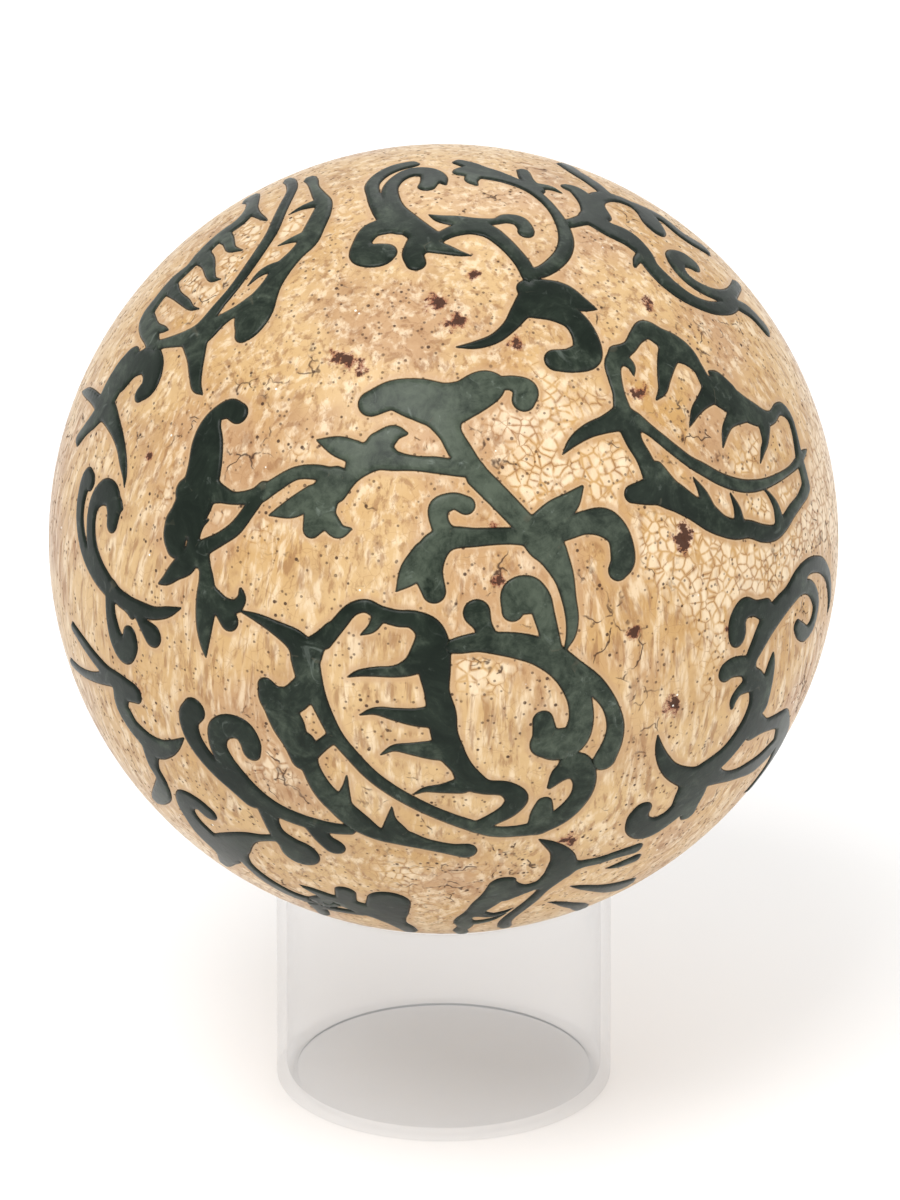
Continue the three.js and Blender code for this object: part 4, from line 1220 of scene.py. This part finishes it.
@dataclass
class Studio:
    """A pale floor, soft lights and the camera.

    Attributes:
        elevation: The camera's height above the horizon, in degrees.
        distance: From the camera to the ball's centre, in metres.
        tall: Height of the view at the ball, in metres.
        aside: How far the ball's centre lies left of the middle of the view, in metres.
        above: How far the ball's centre lies above the middle of the view, in metres.
        floor_half: Half the width of the floor, in metres.
        floor_gap: How far the floor lies below the stand's foot, in metres.
    """

    centre: Vector
    elevation: float = 24.9
    distance: float = 10.0
    tall: float = 0.357
    aside: float = 0.0019
    above: float = 0.0182
    floor_half: float = 6
    floor_gap: float = 0.0002

    def build(self) -> None:
        """Makes everything round the object."""
        self._camera()
        self._floor()
        self._light("key", (-0.7, -1.3, 2.5), 1.5, 48)
        self._light("fill", (1.8, -1.2, 1.2), 2.2, 12)
        self._light("back", (0.3, 1.9, 1.9), 1.8, 14)
        world = bpy.data.worlds.new("pale_room")
        world.use_nodes = True
        world.node_tree.nodes["Background"].inputs["Color"].default_value = (1.0, 1.0, 1.0, 1.0)
        world.node_tree.nodes["Background"].inputs["Strength"].default_value = 0.8
        bpy.context.scene.world = world
        bpy.context.scene.view_settings.view_transform = "Standard"

    def _camera(self) -> None:
        """A long lens that looks down on the ball's richly inlaid side."""
        tilt = math.radians(self.elevation)
        back = Vector((0, -math.cos(tilt), math.sin(tilt)))
        up = Vector((0, math.sin(tilt), math.cos(tilt)))
        target = self.centre + Vector((self.aside, 0, 0)) - up * self.above
        data = bpy.data.cameras.new("camera")
        data.lens = data.sensor_width * self.distance / self.tall
        data.clip_end = 50
        camera = bpy.data.objects.new("camera", data)
        camera.location = target + back * self.distance
        camera.rotation_mode = "QUATERNION"
        camera.rotation_quaternion = (-back).to_track_quat("-Z", "Y")
        bpy.context.scene.collection.objects.link(camera)
        bpy.context.scene.camera = camera

    def _floor(self) -> None:
        """A wide pale floor."""
        bm = bmesh.new()
        bmesh.ops.create_grid(bm, x_segments=1, y_segments=1, size=self.floor_half)
        bmesh.ops.translate(bm, verts=bm.verts, vec=(0, 0, -self.floor_gap))
        mesh = bpy.data.meshes.new("floor")
        bm.to_mesh(mesh)
        bm.free()
        floor = bpy.data.objects.new("floor", mesh)
        s = Shader("pale_floor")
        s.set(Base_Color=(0.93, 0.93, 0.93), Roughness=0.6)
        mesh.materials.append(s.material)
        bpy.context.scene.collection.objects.link(floor)

    def _light(
        self, name: str, place: tuple[float, float, float], size: float, power: float
    ) -> None:
        """One square soft light that faces the ball."""
        data = bpy.data.lights.new(name, "AREA")
        data.size = size
        data.energy = power
        lamp = bpy.data.objects.new(name, data)
        lamp.location = place
        lamp.rotation_mode = "QUATERNION"
        lamp.rotation_quaternion = (self.centre - Vector(place)).to_track_quat("-Z", "Y")
        bpy.context.scene.collection.objects.link(lamp)


# ---------- Putting it together ----------


def dress(piece: bpy.types.Object, slot: str, material: bpy.types.Material, *nodes: str) -> None:
    """Gives a piece its finish and its place in the frame.

    Args:
        piece: The finished piece.
        slot: The record's material slot that the finish stands for; not used.
        material: The finish.
        nodes: The frame's nodes that the piece stands for.
    """
    piece.data.materials.append(material)
    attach(piece, "root")
    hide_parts(*nodes)
    log.info("%s stands for %s", piece.name, ", ".join(nodes))


def main() -> None:
    """Builds the ball, its inlays, the stand and the studio."""
    logging.basicConfig(level=logging.INFO, format="%(message)s")
    for stray in list(bpy.data.objects):
        bpy.data.objects.remove(stray)
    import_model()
    low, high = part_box("stone_ball")
    centre = Vector((0, 0, (low.z + high.z) / 2))
    radius = (high.z - low.z) / 2

    ornament = OrnamentField(radius / MM)
    for name, sheets in all_drawings().items():
        ornament.add_drawing(name, sheets)
    stonework = InlaidBall(centre, radius, ornament).build()
    travertine = GoldenTravertine(centre, radius).material()
    serpentine = DarkSerpentine(centre).material()
    dress(stonework.pop("ground"), "travertine", travertine, "stone_ball")
    for name, piece in stonework.items():
        nodes = [f"inlay_{name}"] + ([SECOND_NODES[name]] if name in SECOND_NODES else [])
        dress(piece, "serpentine", serpentine, *nodes)

    low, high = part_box("clear_stand")
    stand = ClearStand(radius=(high.x - low.x) / 2, height=high.z).build()
    dress(stand, "acrylic", ClearAcrylic().material(), "clear_stand")

    Studio(centre).build()


if __name__ == "__main__":
    main()
